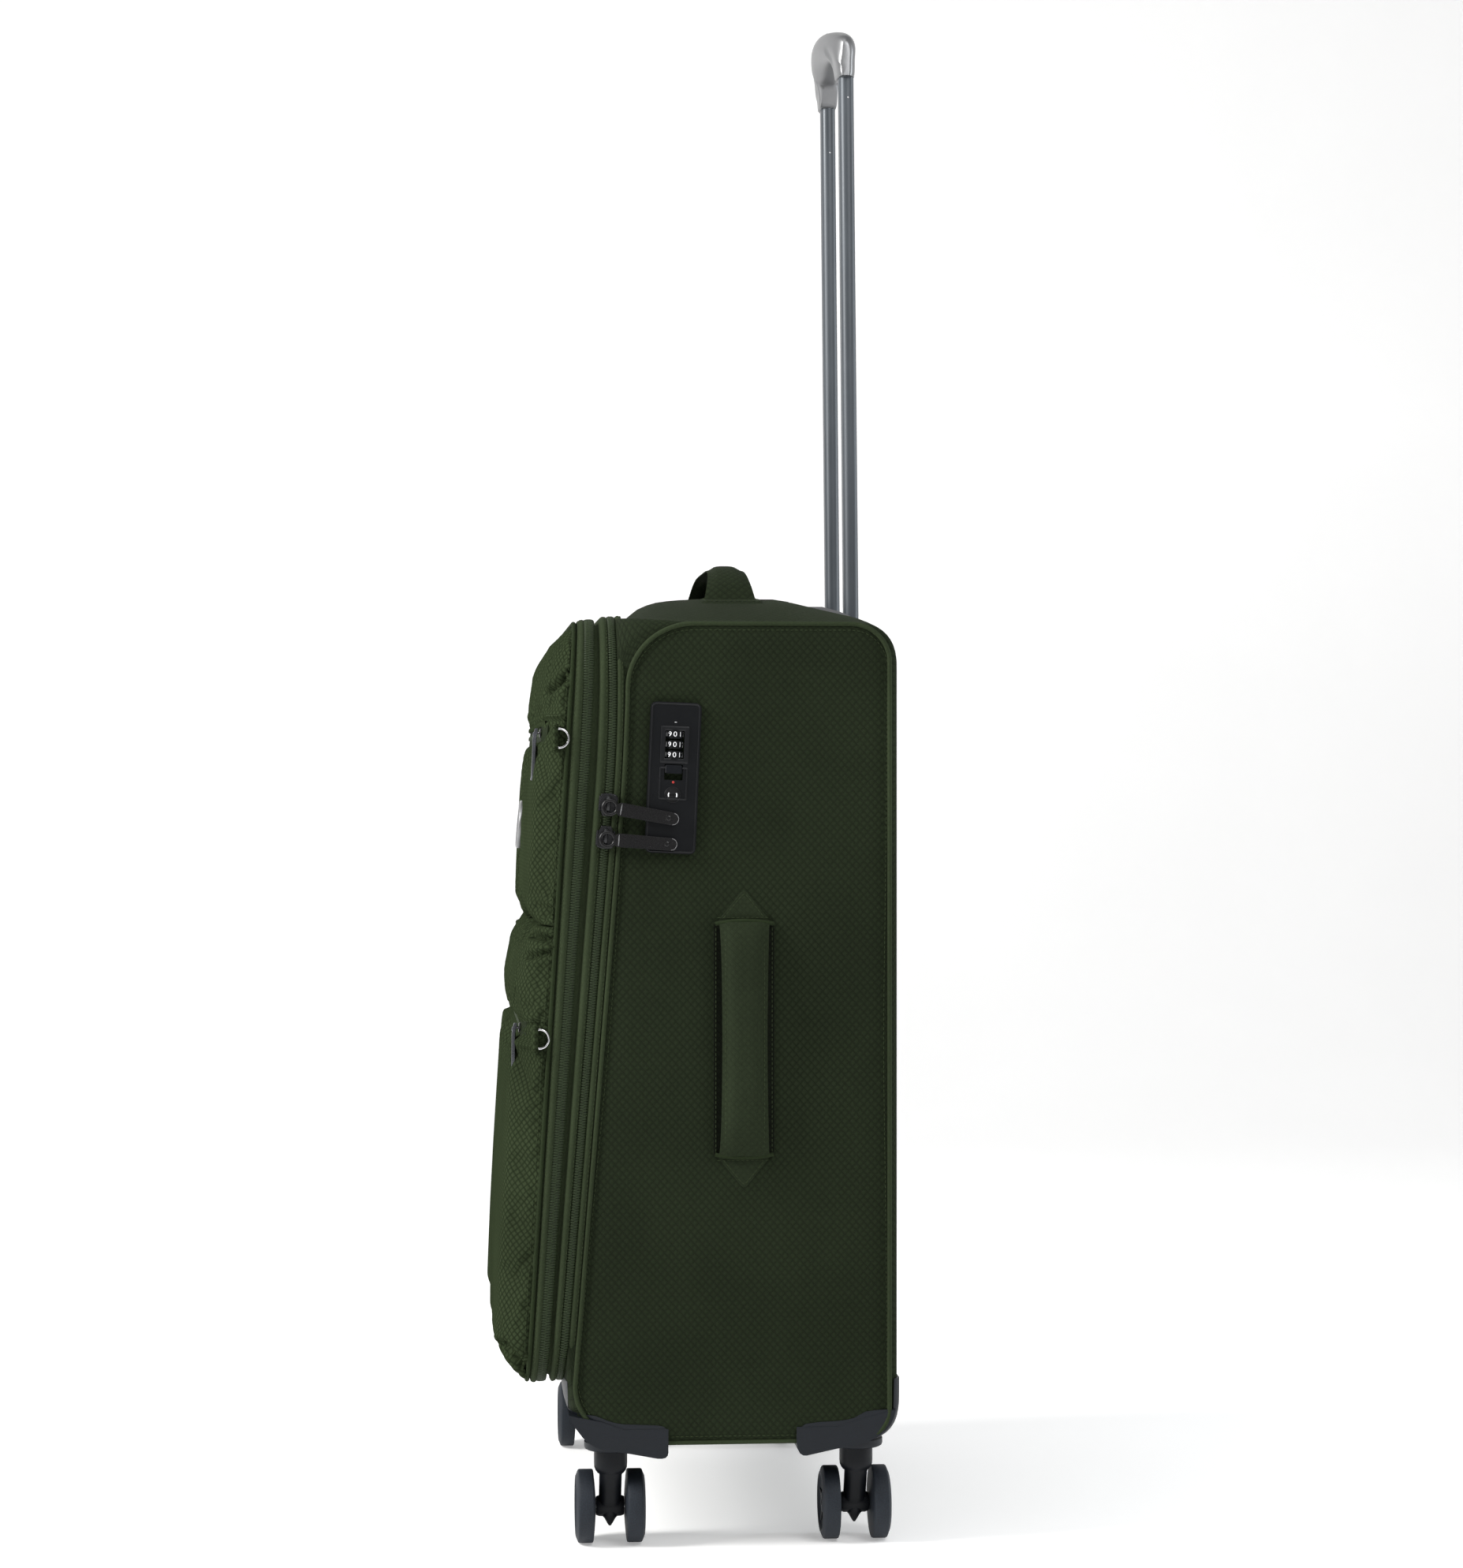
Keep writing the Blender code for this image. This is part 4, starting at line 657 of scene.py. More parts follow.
def make_side(tree, side, name):
    """Woven side panel inside a loop of piping, pressed in round the lock and the handle."""
    loop = side_loop(0.004)
    piping = []
    for y, z in loop:
        place, normal = side_place(tree, side, y, z)
        outward = Vector((side, 0, 0)) * 0.6 + normal * 0.4
        piping.append(place + outward.normalized() * 0.0009)
    Form().tube(piping, 0.0017, sides=10, closed=True, normal=Vector((side, 0, 0))).piece(
        "side_piping_" + name, "case", "plain_fabric", ["band_weave"])
    fine = side_loop(0.0015)
    rows = []
    heights = PANEL_LOW_Z + (PANEL_HIGH_Z - PANEL_LOW_Z) * (1 - np.cos(np.linspace(0, math.pi, 190))) / 2
    heights = heights * 0.55 + np.linspace(PANEL_LOW_Z, PANEL_HIGH_Z, 190) * 0.45
    for z in heights:
        crossings = []
        for (y0, z0), (y1, z1) in zip(fine, np.roll(fine, -1, axis=0)):
            if (z0 - z) * (z1 - z) <= 0 and z0 != z1:
                crossings.append(y0 + (y1 - y0) * (z - z0) / (z1 - z0))
        low, high = min(crossings), max(crossings)
        spread = (1 - np.cos(np.linspace(0, math.pi, 74))) / 2 * 0.5 + np.linspace(0, 1, 74) * 0.5
        row = []
        for y in low + (high - low) * spread:
            near = math.sqrt(((fine - (y, z)) ** 2).sum(1).min())
            place, _ = side_place(tree, side, y, z)
            lift = 0.0022 * (1 - math.exp(-(max(near - 0.0014, 0.0) / 0.0042) ** 1.3)) - 0.0010
            if side > 0:
                for cy, cz, hy, hz in PRESSED:
                    gap = min(30.0, (max(abs(y - cy) - hy, abs(z - cz) - hz) - 0.003) / 0.0016)
                    lift -= max(0.0, lift - 0.0001) / (1 + math.exp(gap))
            row.append((place.x + side * lift, y, z))
        rows.append(row)
    flat = [[(y, z) for _, y, z in row] for row in rows]
    panel = Form().grid(rows, uv=flat).item("side_panel_" + name, ["side_weave"])
    settle(thicken(panel, 0.0006), "case")
    line = []
    for spot in side_loop(0.003):
        inward = np.array(PANEL_MIDDLE) - spot
        y, z = spot + inward / np.linalg.norm(inward) * 0.0042
        line.append(side_place(tree, side, y, z)[0] + ACROSS * side * 0.0002)
    seam = stitches(Form(), line + line[:1], ACROSS * side)
    seam.piece("side_stitches_" + name, "case", "ripstop", ["thread"], merge=False)


def make_bands():
    """Rolled cloth bands and zip tapes beside the zips, one piece on the case and one on the lid."""
    path = rim_path(0.006)
    # sections of the bands: share of the way to the lid edge, offset in depth, and offset outward
    case_band = ((0, 0.0003, 0.0004), (0, 0.0030, 0.0006), (0, 0.0033, 0.0013), (0, 0.0038, 0.0021),
                 (0, 0.0047, 0.0027), (0, 0.0058, 0.0027), (0, 0.0068, 0.0023), (0, 0.0077, 0.0014),
                 (0, 0.0083, 0.0002), (0, 0.0083, -0.0012), (0, 0.0003, -0.0012))
    rows = [[on_rim(s, *p) for p in case_band] for s in path]
    form = Form().grid(rows, lambda _, j: int(j == 0), True, True)
    form.piece("case_band", "case", "plain_fabric", ["band_weave", "zip_tape"], sharp=60)
    lid_band = (
        (0, -0.0003, -0.0035), (0, -0.0003, 0.0004), (0, -0.0030, 0.0006), (0.13, 0, 0.0013), (0.15, 0, 0.0022),
        (0.19, 0, 0.0028), (0.24, 0, 0.0028), (0.28, 0, 0.0022), (0.31, 0, 0.0008), (0.33, 0, -0.0014),
        (0.36, 0, -0.0024), (0.43, 0, -0.0026), (0.465, 0, -0.0016), (0.485, 0, -0.0002), (0.50, 0, 0.0002),
        (0.70, 0, 0.0002), (0.715, 0, 0.0010), (0.74, 0, 0.0020), (0.79, 0, 0.0027), (0.84, 0, 0.0027),
        (0.885, 0, 0.0021), (0.92, 0, 0.0009), (0.945, 0, -0.0006), (1.0, 0, -0.0012), (1.0, -0.0025, -0.0030),
        (1.0, -0.0010, -0.0045), (0.5, 0, -0.0045))
    rows = [[on_rim(s, *p) for p in lid_band] for s in path]

    def look(_, j):
        """Zip tape under the teeth, lining on the inner face, and cloth elsewhere."""
        return 1 if j in (1, 14) else 2 if j >= 25 else 0

    form = Form().grid(rows, look, True, True)
    form.piece("lid_band", "lid", "plain_fabric", ["band_weave", "zip_tape", "lining"], ["lid_shell"], sharp=60)
    edge = [on_rim(s, 1.0, -0.0006, 0.0004) for s in path]
    form = Form().tube(edge, 0.0016, sides=10, closed=True, normal=DEEP)
    form.piece("lid_edge_piping", "lid", "plain_fabric", ["cord_weave"])
    for name, body, between, dy, out in (("case_band_stitches", "case", 0, 0.0071, 0.0022),
                                         ("lid_band_stitches", "lid", 0.145, 0, 0.0021),
                                         ("lid_edge_stitches", "lid", 0.90, 0, 0.0017)):
        fine = rim_path(0.003)
        line = [on_rim(s, between, dy, out) for s in fine]
        normals = [(s[2], 0, s[3]) for s in fine]
        stitches(Form(), line + line[:1], normals + normals[:1]).piece(name, body, "plain_fabric", ["thread"],
                                                                       merge=False)


def tooth(form, station, along, toward, between):
    """One zip tooth: a bent bar with a raised head that reaches over the middle line."""
    _, _, nx, nz = station
    tangent = Vector((-nz, 0, nx))
    out = Vector((nx, 0, nz))
    rows = []
    for dy, high, half, slant in ((-0.0005, 0.0015, 0.00050, 0.0), (-0.0002, 0.0020, 0.00084, 0.0),
                                  (0.0007, 0.0021, 0.00084, 0.00004), (0.0017, 0.0019, 0.00082, 0.00010),
                                  (0.0026, 0.0014, 0.00078, 0.00016), (0.0029, 0.0009, 0.00060, 0.00018)):
        centre = Vector(on_rim(station, between, toward * dy, 0)) + out * (high - 0.0003) + tangent * (along + slant)
        rows.append([centre + tangent * half * c + out * 0.00052 * s
                     for c, s in ((1, -0.6), (1, 0.35), (0.5, 1), (-0.5, 1), (-1, 0.35), (-1, -0.6))])
    form.rod(rows)


def make_zips():
    """The teeth of the main zip on both halves, and of the closed expander zip."""
    path = rim_path(TOOTH_PITCH)
    case_side, lid_side, expander = Form(), Form(), Form()
    for station in path:
        if not in_hinge(station):
            tooth(case_side, station, 0.0, 1, 0.0)
            tooth(lid_side, station, TOOTH_PITCH / 2, -1, 0.0)
        tooth(expander, station, 0.0, 1.3, EXPANDER_AT)
        tooth(expander, station, TOOTH_PITCH / 2, -1.3, EXPANDER_AT)
    case_side.piece("zip_teeth_case", "case", "zip_coil", ["zip_teeth"], ["zip_chain_case"], merge=False)
    lid_side.piece("zip_teeth_lid", "lid", "zip_coil", ["zip_teeth"], ["zip_chain_lid"], merge=False)
    expander.piece("expander_teeth", "lid", "zip_coil", ["zip_teeth"], ["expander_zip"], merge=False)


def make_hinge():
    """Cloth strip that joins the case and the lid along the side away from the lock."""
    rows = []
    for k in range(60):
        z = HINGE_LOW_Z - 0.002 + (HINGE_HIGH_Z - HINGE_LOW_Z + 0.004) * k / 59
        edge = min(1.0, min(k, 59 - k) / 3)
        rows.append([(-0.2082 - (0.0018 + 0.0006 * math.cos(3 * a)) * math.cos(a * math.pi / 2.4) * edge,
                      zip_line(z) + 0.0042 * a, z) for a in np.linspace(-1, 1, 15)])
    strip = thicken(Form().grid(rows).item("hinge_strip", ["band_weave"]), 0.0010, 0.0)
    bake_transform(strip)


# ---------------------------------------------------------------- pockets
def lid_half_width(z):
    """Half width of the lid's outline at a height."""
    for edge, radius, up in ((LID_HIGH_Z, ZIP_HIGH_RADIUS, 1), (LID_LOW_Z, ZIP_LOW_RADIUS, -1)):
        into = up * (z - edge) + radius
        if into > 0:
            return LID_HALF_WIDTH - radius + math.sqrt(max(0.0, radius ** 2 - min(into, radius) ** 2))
    return LID_HALF_WIDTH


def pocket_grid(profile, zip_):
    """Rows of points over a pocket, from flank to flank, and which of them are sewn down."""
    rows, pinned = [], []
    line = resample(profile, POCKET_STEP)
    flank = np.linspace(0, math.pi / 2, int(0.046 / POCKET_STEP) + 1)
    for k, (front_y, z) in enumerate(line):
        width = lid_half_width(z) - 0.0008
        flat = min(FRONT_FLAT, width - 0.012)
        base = lid_edge(z) - 0.0012
        valley = math.exp(-((z - zip_["at"]) / 0.0060) ** 4)
        flat_y = zip_["front"] + zip_["lean"] * (z - zip_["at"]) + 0.0012
        row, pins = [], []
        xs = [(-width + (width - flat) * (1 - math.cos(a)), a) for a in flank[:-1]]
        xs += [(x, math.pi / 2) for x in np.linspace(-flat, flat, POCKET_COLUMNS)]
        xs += [(width - (width - flat) * (1 - math.cos(a)), a) for a in flank[:-1][::-1]]
        for x, a in xs:
            crowned = front_y + 0.0042 * (abs(x) / 0.19) ** 2.4
            y = crowned * (1 - valley) + flat_y * valley
            rise = math.sin(a) ** 0.85
            row.append((x, base + (y - base) * rise, z))
            border = k in (0, len(line) - 1) or a == 0
            badge = abs(x) < 0.040 and abs(z - BADGE_Z) < 0.026 and zip_ is UPPER_ZIP
            pins.append(1.0 if border or badge or (valley > 0.35 and a > 1.1) else 0.0)
        rows.append(row)
        pinned.append(pins)
    return np.array(rows), np.array(pinned)


def billow(rows, pinned, name):
    """Cloth under slight pressure, sewn down along its border and its zip; moves are capped."""
    count, width = rows.shape[:2]
    cloth_item = Form().grid(rows).item(name, ["pocket_weave"], merge=False)
    if sum(p.normal.y for p in cloth_item.data.polygons) > 0:
        cloth_item.data.flip_normals()
    group = cloth_item.vertex_groups.new(name="sewn")
    for index, weight in enumerate(pinned.ravel()):
        if weight:
            group.add([index], weight, "REPLACE")
    change = cloth_item.modifiers.new("cloth", "CLOTH")
    s = change.settings
    s.quality, s.mass, s.vertex_group_mass = 6, 0.25, "sewn"
    s.tension_stiffness, s.compression_stiffness, s.shear_stiffness = 18, 18, 6
    s.bending_stiffness, s.shrink_min = 0.35, -0.028
    s.use_pressure, s.uniform_pressure_force = True, 2.2
    s.effector_weights.gravity = 0.0
    change.collision_settings.use_collision = False
    change.collision_settings.use_self_collision = False
    scene = bpy.context.scene
    change.point_cache.frame_start, change.point_cache.frame_end = 1, CLOTH_STEPS + 2
    for step in range(1, CLOTH_STEPS + 1):
        scene.frame_set(step)
    graph = bpy.context.evaluated_depsgraph_get()
    mesh = cloth_item.evaluated_get(graph).data
    flat = np.empty(len(mesh.vertices) * 3)
    mesh.vertices.foreach_get("co", flat)
    moved = flat.reshape(count, width, 3)
    bpy.data.objects.remove(cloth_item, do_unlink=True)
    scene.frame_set(1)
    change_by = moved - rows
    reach = np.linalg.norm(change_by, axis=2, keepdims=True)
    return rows + change_by * np.minimum(1.0, CLOTH_REACH / np.maximum(reach, 1e-9))


def finer(rows, times):
    """A grid of points with Catmull-Rom points added between its rows and columns."""
    for axis in (0, 1):
        rows = np.moveaxis(rows, axis, 0)
        padded = np.concatenate([2 * rows[:1] - rows[1:2], rows, 2 * rows[-1:] - rows[-2:-1]])
        made = []
        for i in range(len(rows) - 1):
            a, b, c, d = padded[i:i + 4]
            for k in range(times):
                made.append(catmull(a, b, c, d, k / times))
        made.append(rows[-1])
        rows = np.moveaxis(np.array(made), 0, axis)
    return rows


def grid_normals(rows):
    """Unit normals of a grid of points, facing away from the case."""
    du = np.gradient(rows, axis=1)
    dv = np.gradient(rows, axis=0)
    normal = np.cross(du, dv)
    normal /= np.maximum(np.linalg.norm(normal, axis=2, keepdims=True), 1e-12)
    if normal[len(rows) // 2, rows.shape[1] // 2, 1] > 0:
        normal = -normal
    return normal


def crease(rows, normal, start, end, depth, width):
    """Press a crease between two places in side view, on both flanks, with a soft ridge beside it."""
    start, end = np.array(start), np.array(end)
    span = end - start
    along = np.clip(((rows[..., 1:] - start) @ span) / (span @ span), 0, 1)
    gap = np.linalg.norm(rows[..., 1:] - (start + along[..., None] * span), axis=2)
    press = np.exp(-(gap / width) ** 2) - 0.35 * np.exp(-((gap - 2.1 * width) / width) ** 2)
    flank = np.clip((np.abs(rows[..., 0]) - 0.155) / 0.015, 0, 1)
    return rows - normal * (press * depth * flank)[..., None]


# creases of the flanks in side view: both ends as (Y, Z), depth and width
UPPER_CREASES = (
    ((-0.0905, 0.6210), (-0.1100, 0.6042), 0.0050, 0.0022), ((-0.1150, 0.6010), (-0.1075, 0.5890), 0.0016, 0.0020),
    ((-0.1075, 0.5882), (-0.0930, 0.5876), 0.0014, 0.0020), ((-0.1130, 0.6380), (-0.0980, 0.6440), 0.0016, 0.0030),
    ((-0.1120, 0.4560), (-0.1000, 0.4500), 0.0022, 0.0030), ((-0.1080, 0.5560), (-0.1000, 0.5400), 0.0007, 0.0050))
LOWER_CREASES = (
    ((-0.1165, 0.4350), (-0.1030, 0.4320), 0.0045, 0.0024), ((-0.1190, 0.4200), (-0.1050, 0.4235), 0.0040, 0.0022),
    ((-0.1305, 0.3960), (-0.1240, 0.3715), 0.0014, 0.0020), ((-0.1240, 0.3720), (-0.1070, 0.3722), 0.0014, 0.0020),
    ((-0.1370, 0.1440), (-0.1190, 0.1270), 0.0050, 0.0028), ((-0.1250, 0.3300), (-0.1140, 0.3000), 0.0010, 0.0060),
    ((-0.1260, 0.2300), (-0.1150, 0.2000), 0.0010, 0.0070))


def make_pocket(name, profile, zip_, creases):
    """Puffed pocket of woven cloth with its creases, and the stitched seam on its flanks."""
    rows, pinned = pocket_grid(profile, zip_)
    rows = billow(rows, pinned, name + "_cloth")
    rows = finer(rows, 4)
    steps = np.linalg.norm(np.diff(rows, axis=1), axis=2)
    across = np.concatenate([np.zeros((len(rows), 1)), np.cumsum(steps, axis=1)], 1)
    across -= across[:, rows.shape[1] // 2, None]
    down = np.linalg.norm(np.diff(rows, axis=0), axis=2).mean(1)
    down = np.concatenate([[0], np.cumsum(down)])[:, None] + 0 * across
    for start, end, depth, width in creases:
        rows = crease(rows, grid_normals(rows), start, end, depth, width)
    form = Form().grid(rows, uv=np.stack([across, down], 2))
    pocket = thicken(form.item(name + "_cloth", ["pocket_weave"], 60), 0.0008)
    settle(pocket, "lid", [name])
    seam = Form()
    normal = grid_normals(rows)
    k = int(np.abs(rows[:, rows.shape[1] // 2, 2] - zip_["seam"]).argmin())
    width = rows.shape[1]
    for part in ((k, slice(3, 23)), (k, slice(width - 23, width - 3)), (slice(None, None, 2), 3),
                 (slice(None, None, 2), -4)):
        stitches(seam, rows[part] + normal[part] * 0.0003, normal[part])
    seam.piece(name + "_stitches", "lid", "ripstop", ["thread"], merge=False)


def make_pocket_zip(name, zip_):
    """Zip across a pocket: its tape and coil, the cloth lip above it, its slider and its bent pull."""
    lean = Matrix.Rotation(-math.atan(zip_["lean"]), 4, "X")
    place = Matrix.Translation((0, zip_["front"], zip_["at"])) @ lean
    form = Form()
    rows = []
    for x in np.linspace(-0.186, 0.186, 75):
        drop = 0.0035 * max(0.0, (abs(x) - 0.172) / 0.014) ** 1.6
        rows.append([(x, y + drop, z) for y, z in ((0.0002, -0.0060), (-0.0001, -0.0056), (-0.0001, 0.0056),
                                                   (0.0002, 0.0060), (0.0012, 0.0058), (0.0012, -0.0058))])
    form.rod(rows, 0)
    for k in range(244):
        x = -0.1735 + k * 0.00142
        for side in (1, -1):
            rows = []
            for z, high, half in ((-0.0003, 0.0003, 0.0003), (0.0002, 0.0007, 0.00046), (0.0010, 0.0006, 0.00042),
                                  (0.0017, 0.0002, 0.0003)):
                centre = Vector((x + 0.00071 * (side > 0), -high, side * z))
                rows.append([centre + Vector((half * c, -0.00034 * s, 0)) for c, s in
                             ((1, -0.6), (1, 0.4), (0.4, 1), (-0.4, 1), (-1, 0.4), (-1, -0.6))])
            form.rod(rows, 1)
    form.move(place).piece(name + "_zip", "lid", "zip_coil", ["zip_tape", "zip_teeth"], merge=False)
    lip = []
    for x in np.linspace(-0.180, 0.180, 73):
        tuck = 1 - max(0.0, (abs(x) - 0.160) / 0.020) ** 2
        lip.append([Vector((x, 0.0012 + (y - 0.0012) * tuck, z)) for y, z in
                    ((0.0014, 0.0094), (-0.0010, 0.0088), (-0.0019, 0.0074), (-0.0020, 0.0056), (-0.0014, 0.0047),
                     (-0.0008, 0.0052), (-0.0007, 0.0066), (0.0010, 0.0070))])
    Form().rod(lip).move(place).piece(name + "_lip", "lid", "ripstop", ["pocket_weave"], sharp=60)
    x = POCKET_SLIDER_X
    spot = Matrix.Translation((x, zip_["front"], zip_["at"])) @ lean @ Matrix.Rotation(math.pi / 2, 4, "Z")
    spot = spot @ Matrix.Rotation(math.pi, 4, "Z") @ Matrix.Rotation(math.pi / 2, 4, "X")
    body = slider(0.60).move(spot @ Matrix.Translation((0.0003, 0, 0)))
    soften(body.piece(name + "_slider_body", name + "_slider", "gunmetal", ["gunmetal"], [name + "_slider"], 30,
                      False), 0.00016, 1)
    length = 0.037
    pull = pull_plate(pull_outline(length, 0.0075), 0.0024, [(0.0030, 0.0016)])
    pull.points = [(level + 0.0009 * math.sin(2 * math.pi * along / length), along, across)
                   for level, along, across in pull.points]
    turned = Matrix.Translation((x, zip_["front"], zip_["at"])) @ lean @ Matrix(
        ((0, 0, 1, 0), (-1, 0, 0, 0), (0, -1, 0, 0), (0, 0, 0, 1)))
    turned = turned @ Matrix.Translation((0.00415, -0.0020, 0))
    pull.move(turned).piece(name + "_pull_tab", name + "_pull", "gunmetal", ["grey_metal"], [name + "_pull"], 30)


def slider(size):
    """Zip slider in its own axes: X outward, Z along the zip with the wide end up."""
    plate = [(0.0030, -0.0070), (0.0042, -0.0040), (0.0052, 0.0030), (0.0048, 0.0062), (0.0020, 0.0070),
             (-0.0020, 0.0070), (-0.0048, 0.0062), (-0.0052, 0.0030), (-0.0042, -0.0040), (-0.0030, -0.0070)]
    form = Form().rod(slab(plate, 0.0002, 0.0022, 0.0006))
    for y in (0.0050, -0.0050):
        form.tube([(0.0012, y, z) for z in (-0.0040, 0.0, 0.0052)], 0.0009, normal=ACROSS)
    arch = [(0.0018, 0, -0.0052), (0.0032, 0, -0.0046), (0.0044, 0, -0.0030), (0.0048, 0, 0.0), (0.0044, 0, 0.0030),
            (0.0032, 0, 0.0046), (0.0018, 0, 0.0052)]
    form.tube(arch, 0.0011, sides=10, flat=1.3, normal=DEEP)
    return form.move(Matrix.Scale(size, 4))


def pull_outline(length, width):
    """A flat pull as (along, across): narrow at the hinge and rounded at the tip."""
    radius = width / 2
    points = [(-0.0012, -radius * 0.55), (length * 0.10, -radius * 0.62), (length * 0.17, -radius * 0.95)]
    for i in range(13):
        a = -math.pi / 2 + math.pi * i / 12
        points.append((length - radius - 0.0008 + radius * math.cos(a), radius * math.sin(a)))
    return points + [(length * 0.17, radius * 0.95), (length * 0.10, radius * 0.62), (-0.0012, radius * 0.55)]


def pull_plate(ring, thick, studs):
    """A pull with softened edges and studs; X is its thickness."""
    form = Form().rod(slab(ring, -thick / 2, thick / 2, 0.0005))
    for along, radius in studs:
        form.rod(discs(((thick * 0.3, radius), (thick * 0.62, radius), (thick * 0.78, radius * 0.6)), (along, 0), 16))
    return form


# ---------------------------------------------------------------- lid: front panel, lining, badge, rings
def make_lid_inside():
    """The panel behind the pockets, its lining, and a zipped mesh pocket inside the lid."""
    rows = []
    for t in np.linspace(0, 1, 60):
        z = LID_LOW_Z + 0.0012 + (LID_HIGH_Z - LID_LOW_Z - 0.0024) * (0.6 * t + 0.4 * (1 - math.cos(math.pi * t)) / 2)
        width = lid_half_width(z) - 0.0010
        rows.append([(x, lid_edge(z) - 0.0006, z) for x in np.linspace(-width, width, 40)])
    panel = thicken(Form().grid(rows).item("lid_panel", ["pocket_weave"]), 0.0008, 0.0)
    settle(panel, "lid")
    inner = [[(x * 0.985, y + 0.0022 + 0.0006 * math.sin(x * 90) * math.sin(z * 60), 0.3870 + (z - 0.3870) * 0.985)
              for x, y, z in row] for row in rows]
    settle(thicken(Form().grid(inner).item("lid_lining", ["lining"]), 0.0006, 0.0), "lid")
    mesh = []
    half, low, high = MESH_POCKET_HALF, MESH_POCKET_LOW_Z, MESH_POCKET_HIGH_Z
    for z in np.linspace(low, high, 60):
        mesh.append([(x, lid_edge(z) + 0.0042 + 0.0016 * math.cos(x / 0.175 * math.pi / 2)
                      + 0.0005 * math.sin(x * 120 + z * 40), z) for x in np.linspace(-half, half, 56)])
    settle(thicken(Form().grid(mesh).item("lid_mesh_pocket", ["mesh_lining"]), 0.0006, 0.0), "lid")
    trim = Form()
    border = resample([(-half, low), (half, low), (half, high), (-half, high)], 0.008, closed=True)
    trim.tube([(x, lid_edge(z) + 0.0044, z) for x, z in border], 0.0032, closed=True, flat=0.35, normal=DEEP)
    for k in range(200):
        x = -0.150 + k * 0.0015
        z = 0.545 + 0.0009 * (1 if k % 2 else -1)
        trim.solid(block((x - 0.0005, lid_edge(z) + 0.0052, z - 0.0013), (x + 0.0005, lid_edge(z) + 0.0064,
                                                                         z + 0.0013), 0.0003, 1), 1)
    trim.piece("lid_mesh_trim", "lid", "lining", ["webbing", "zip_teeth"], merge=False)


def make_badge():
    """Blank oval plate with a raised rim on the upper pocket."""
    rings = []
    for inset, lift in ((0.0, 0.0002), (0.0, 0.0016), (0.0004, 0.0022), (0.0014, 0.0024), (0.0022, 0.0018),
                        (0.0030, 0.0017)):
        shape = stadium(0.062 - 2 * inset, 0.036 - 2 * inset, 16)
        rings.append([(x, UPPER_ZIP["front"] + UPPER_ZIP["lean"] * (z + BADGE_Z - UPPER_ZIP["at"]) - lift - 0.0050,
                       z + BADGE_Z) for x, z in shape])
    base = [(x, y + 0.008, z) for x, y, z in rings[0]]
    Form().rod([base] + rings).piece("badge_oval", "lid", "silver_plastic", ["silver_plastic"], ["badge_plate"])


def make_ring(name, y, z):
    """Wire D ring whose straight bar runs through a standing fold of the pocket's cloth."""
    radius, wire, x = 0.0068, 0.0009, 0.2070
    path = [Vector((x, y, z + radius * t)) for t in (-0.9, -0.5, 0.0, 0.5, 0.9)]
    for i in range(0, 17):
        a = math.pi / 2 - math.pi * i / 16
        path.append(Vector((x, y + 0.0016 + radius * math.cos(a), z + radius * math.sin(a))))
    Form().tube(path, wire, sides=12, closed=True, normal=ACROSS).piece(
        name + "_wire", name, "steel", ["steel"], [name], sharp=80)
    rows = []
    for t in np.linspace(-1, 1, 25):
        size = (1 - min(1.0, abs(t)) ** 8) ** 0.5 * 0.55 + 0.45
        pinch = 1 - 0.16 * math.exp(-(t / 0.75) ** 8)
        rows.append([(x - 0.0022 + (0.0056 * size * math.cos(a) if math.cos(a) > 0 else 0.0016 * math.cos(a)),
                      y - 0.0012 + 0.0030 * size * pinch * math.sin(a), z + 0.0104 * t)
                     for a in around(20)])
    fold = Form().rod(rows)
    for k in (-1, 1):
        stitches(fold, [(x + 0.0030, y - 0.0012 + 0.0016 * t, z + k * 0.0080) for t in np.linspace(-1, 1, 6)],
                 ACROSS, 1, length=0.0014, gap=0.0006)
    fold.piece(name + "_tab", "lid", "webbing", ["pocket_weave", "thread"], merge=False)


# ---------------------------------------------------------------- handles
def strap_ring(centre, out, width, bulge, under):
    """Section of a padded strap that lies across Y: a stuffed middle between two flat stitched flanges."""
    middle = width / 2 - 0.0036
    ring = []
    for face, depth in ((1, bulge), (-1, under)):
        for s in np.linspace(-1, 1, 14)[::face]:
            a = s * width / 2
            full = max(0.0, 1 - (abs(a) / middle) ** 3.4) ** 0.6
            thick = 0.0010 * (1 if abs(s) < 0.97 else 0.45) + depth * full
            ring.append(centre + DEEP * a + out * face * thick)
    return ring


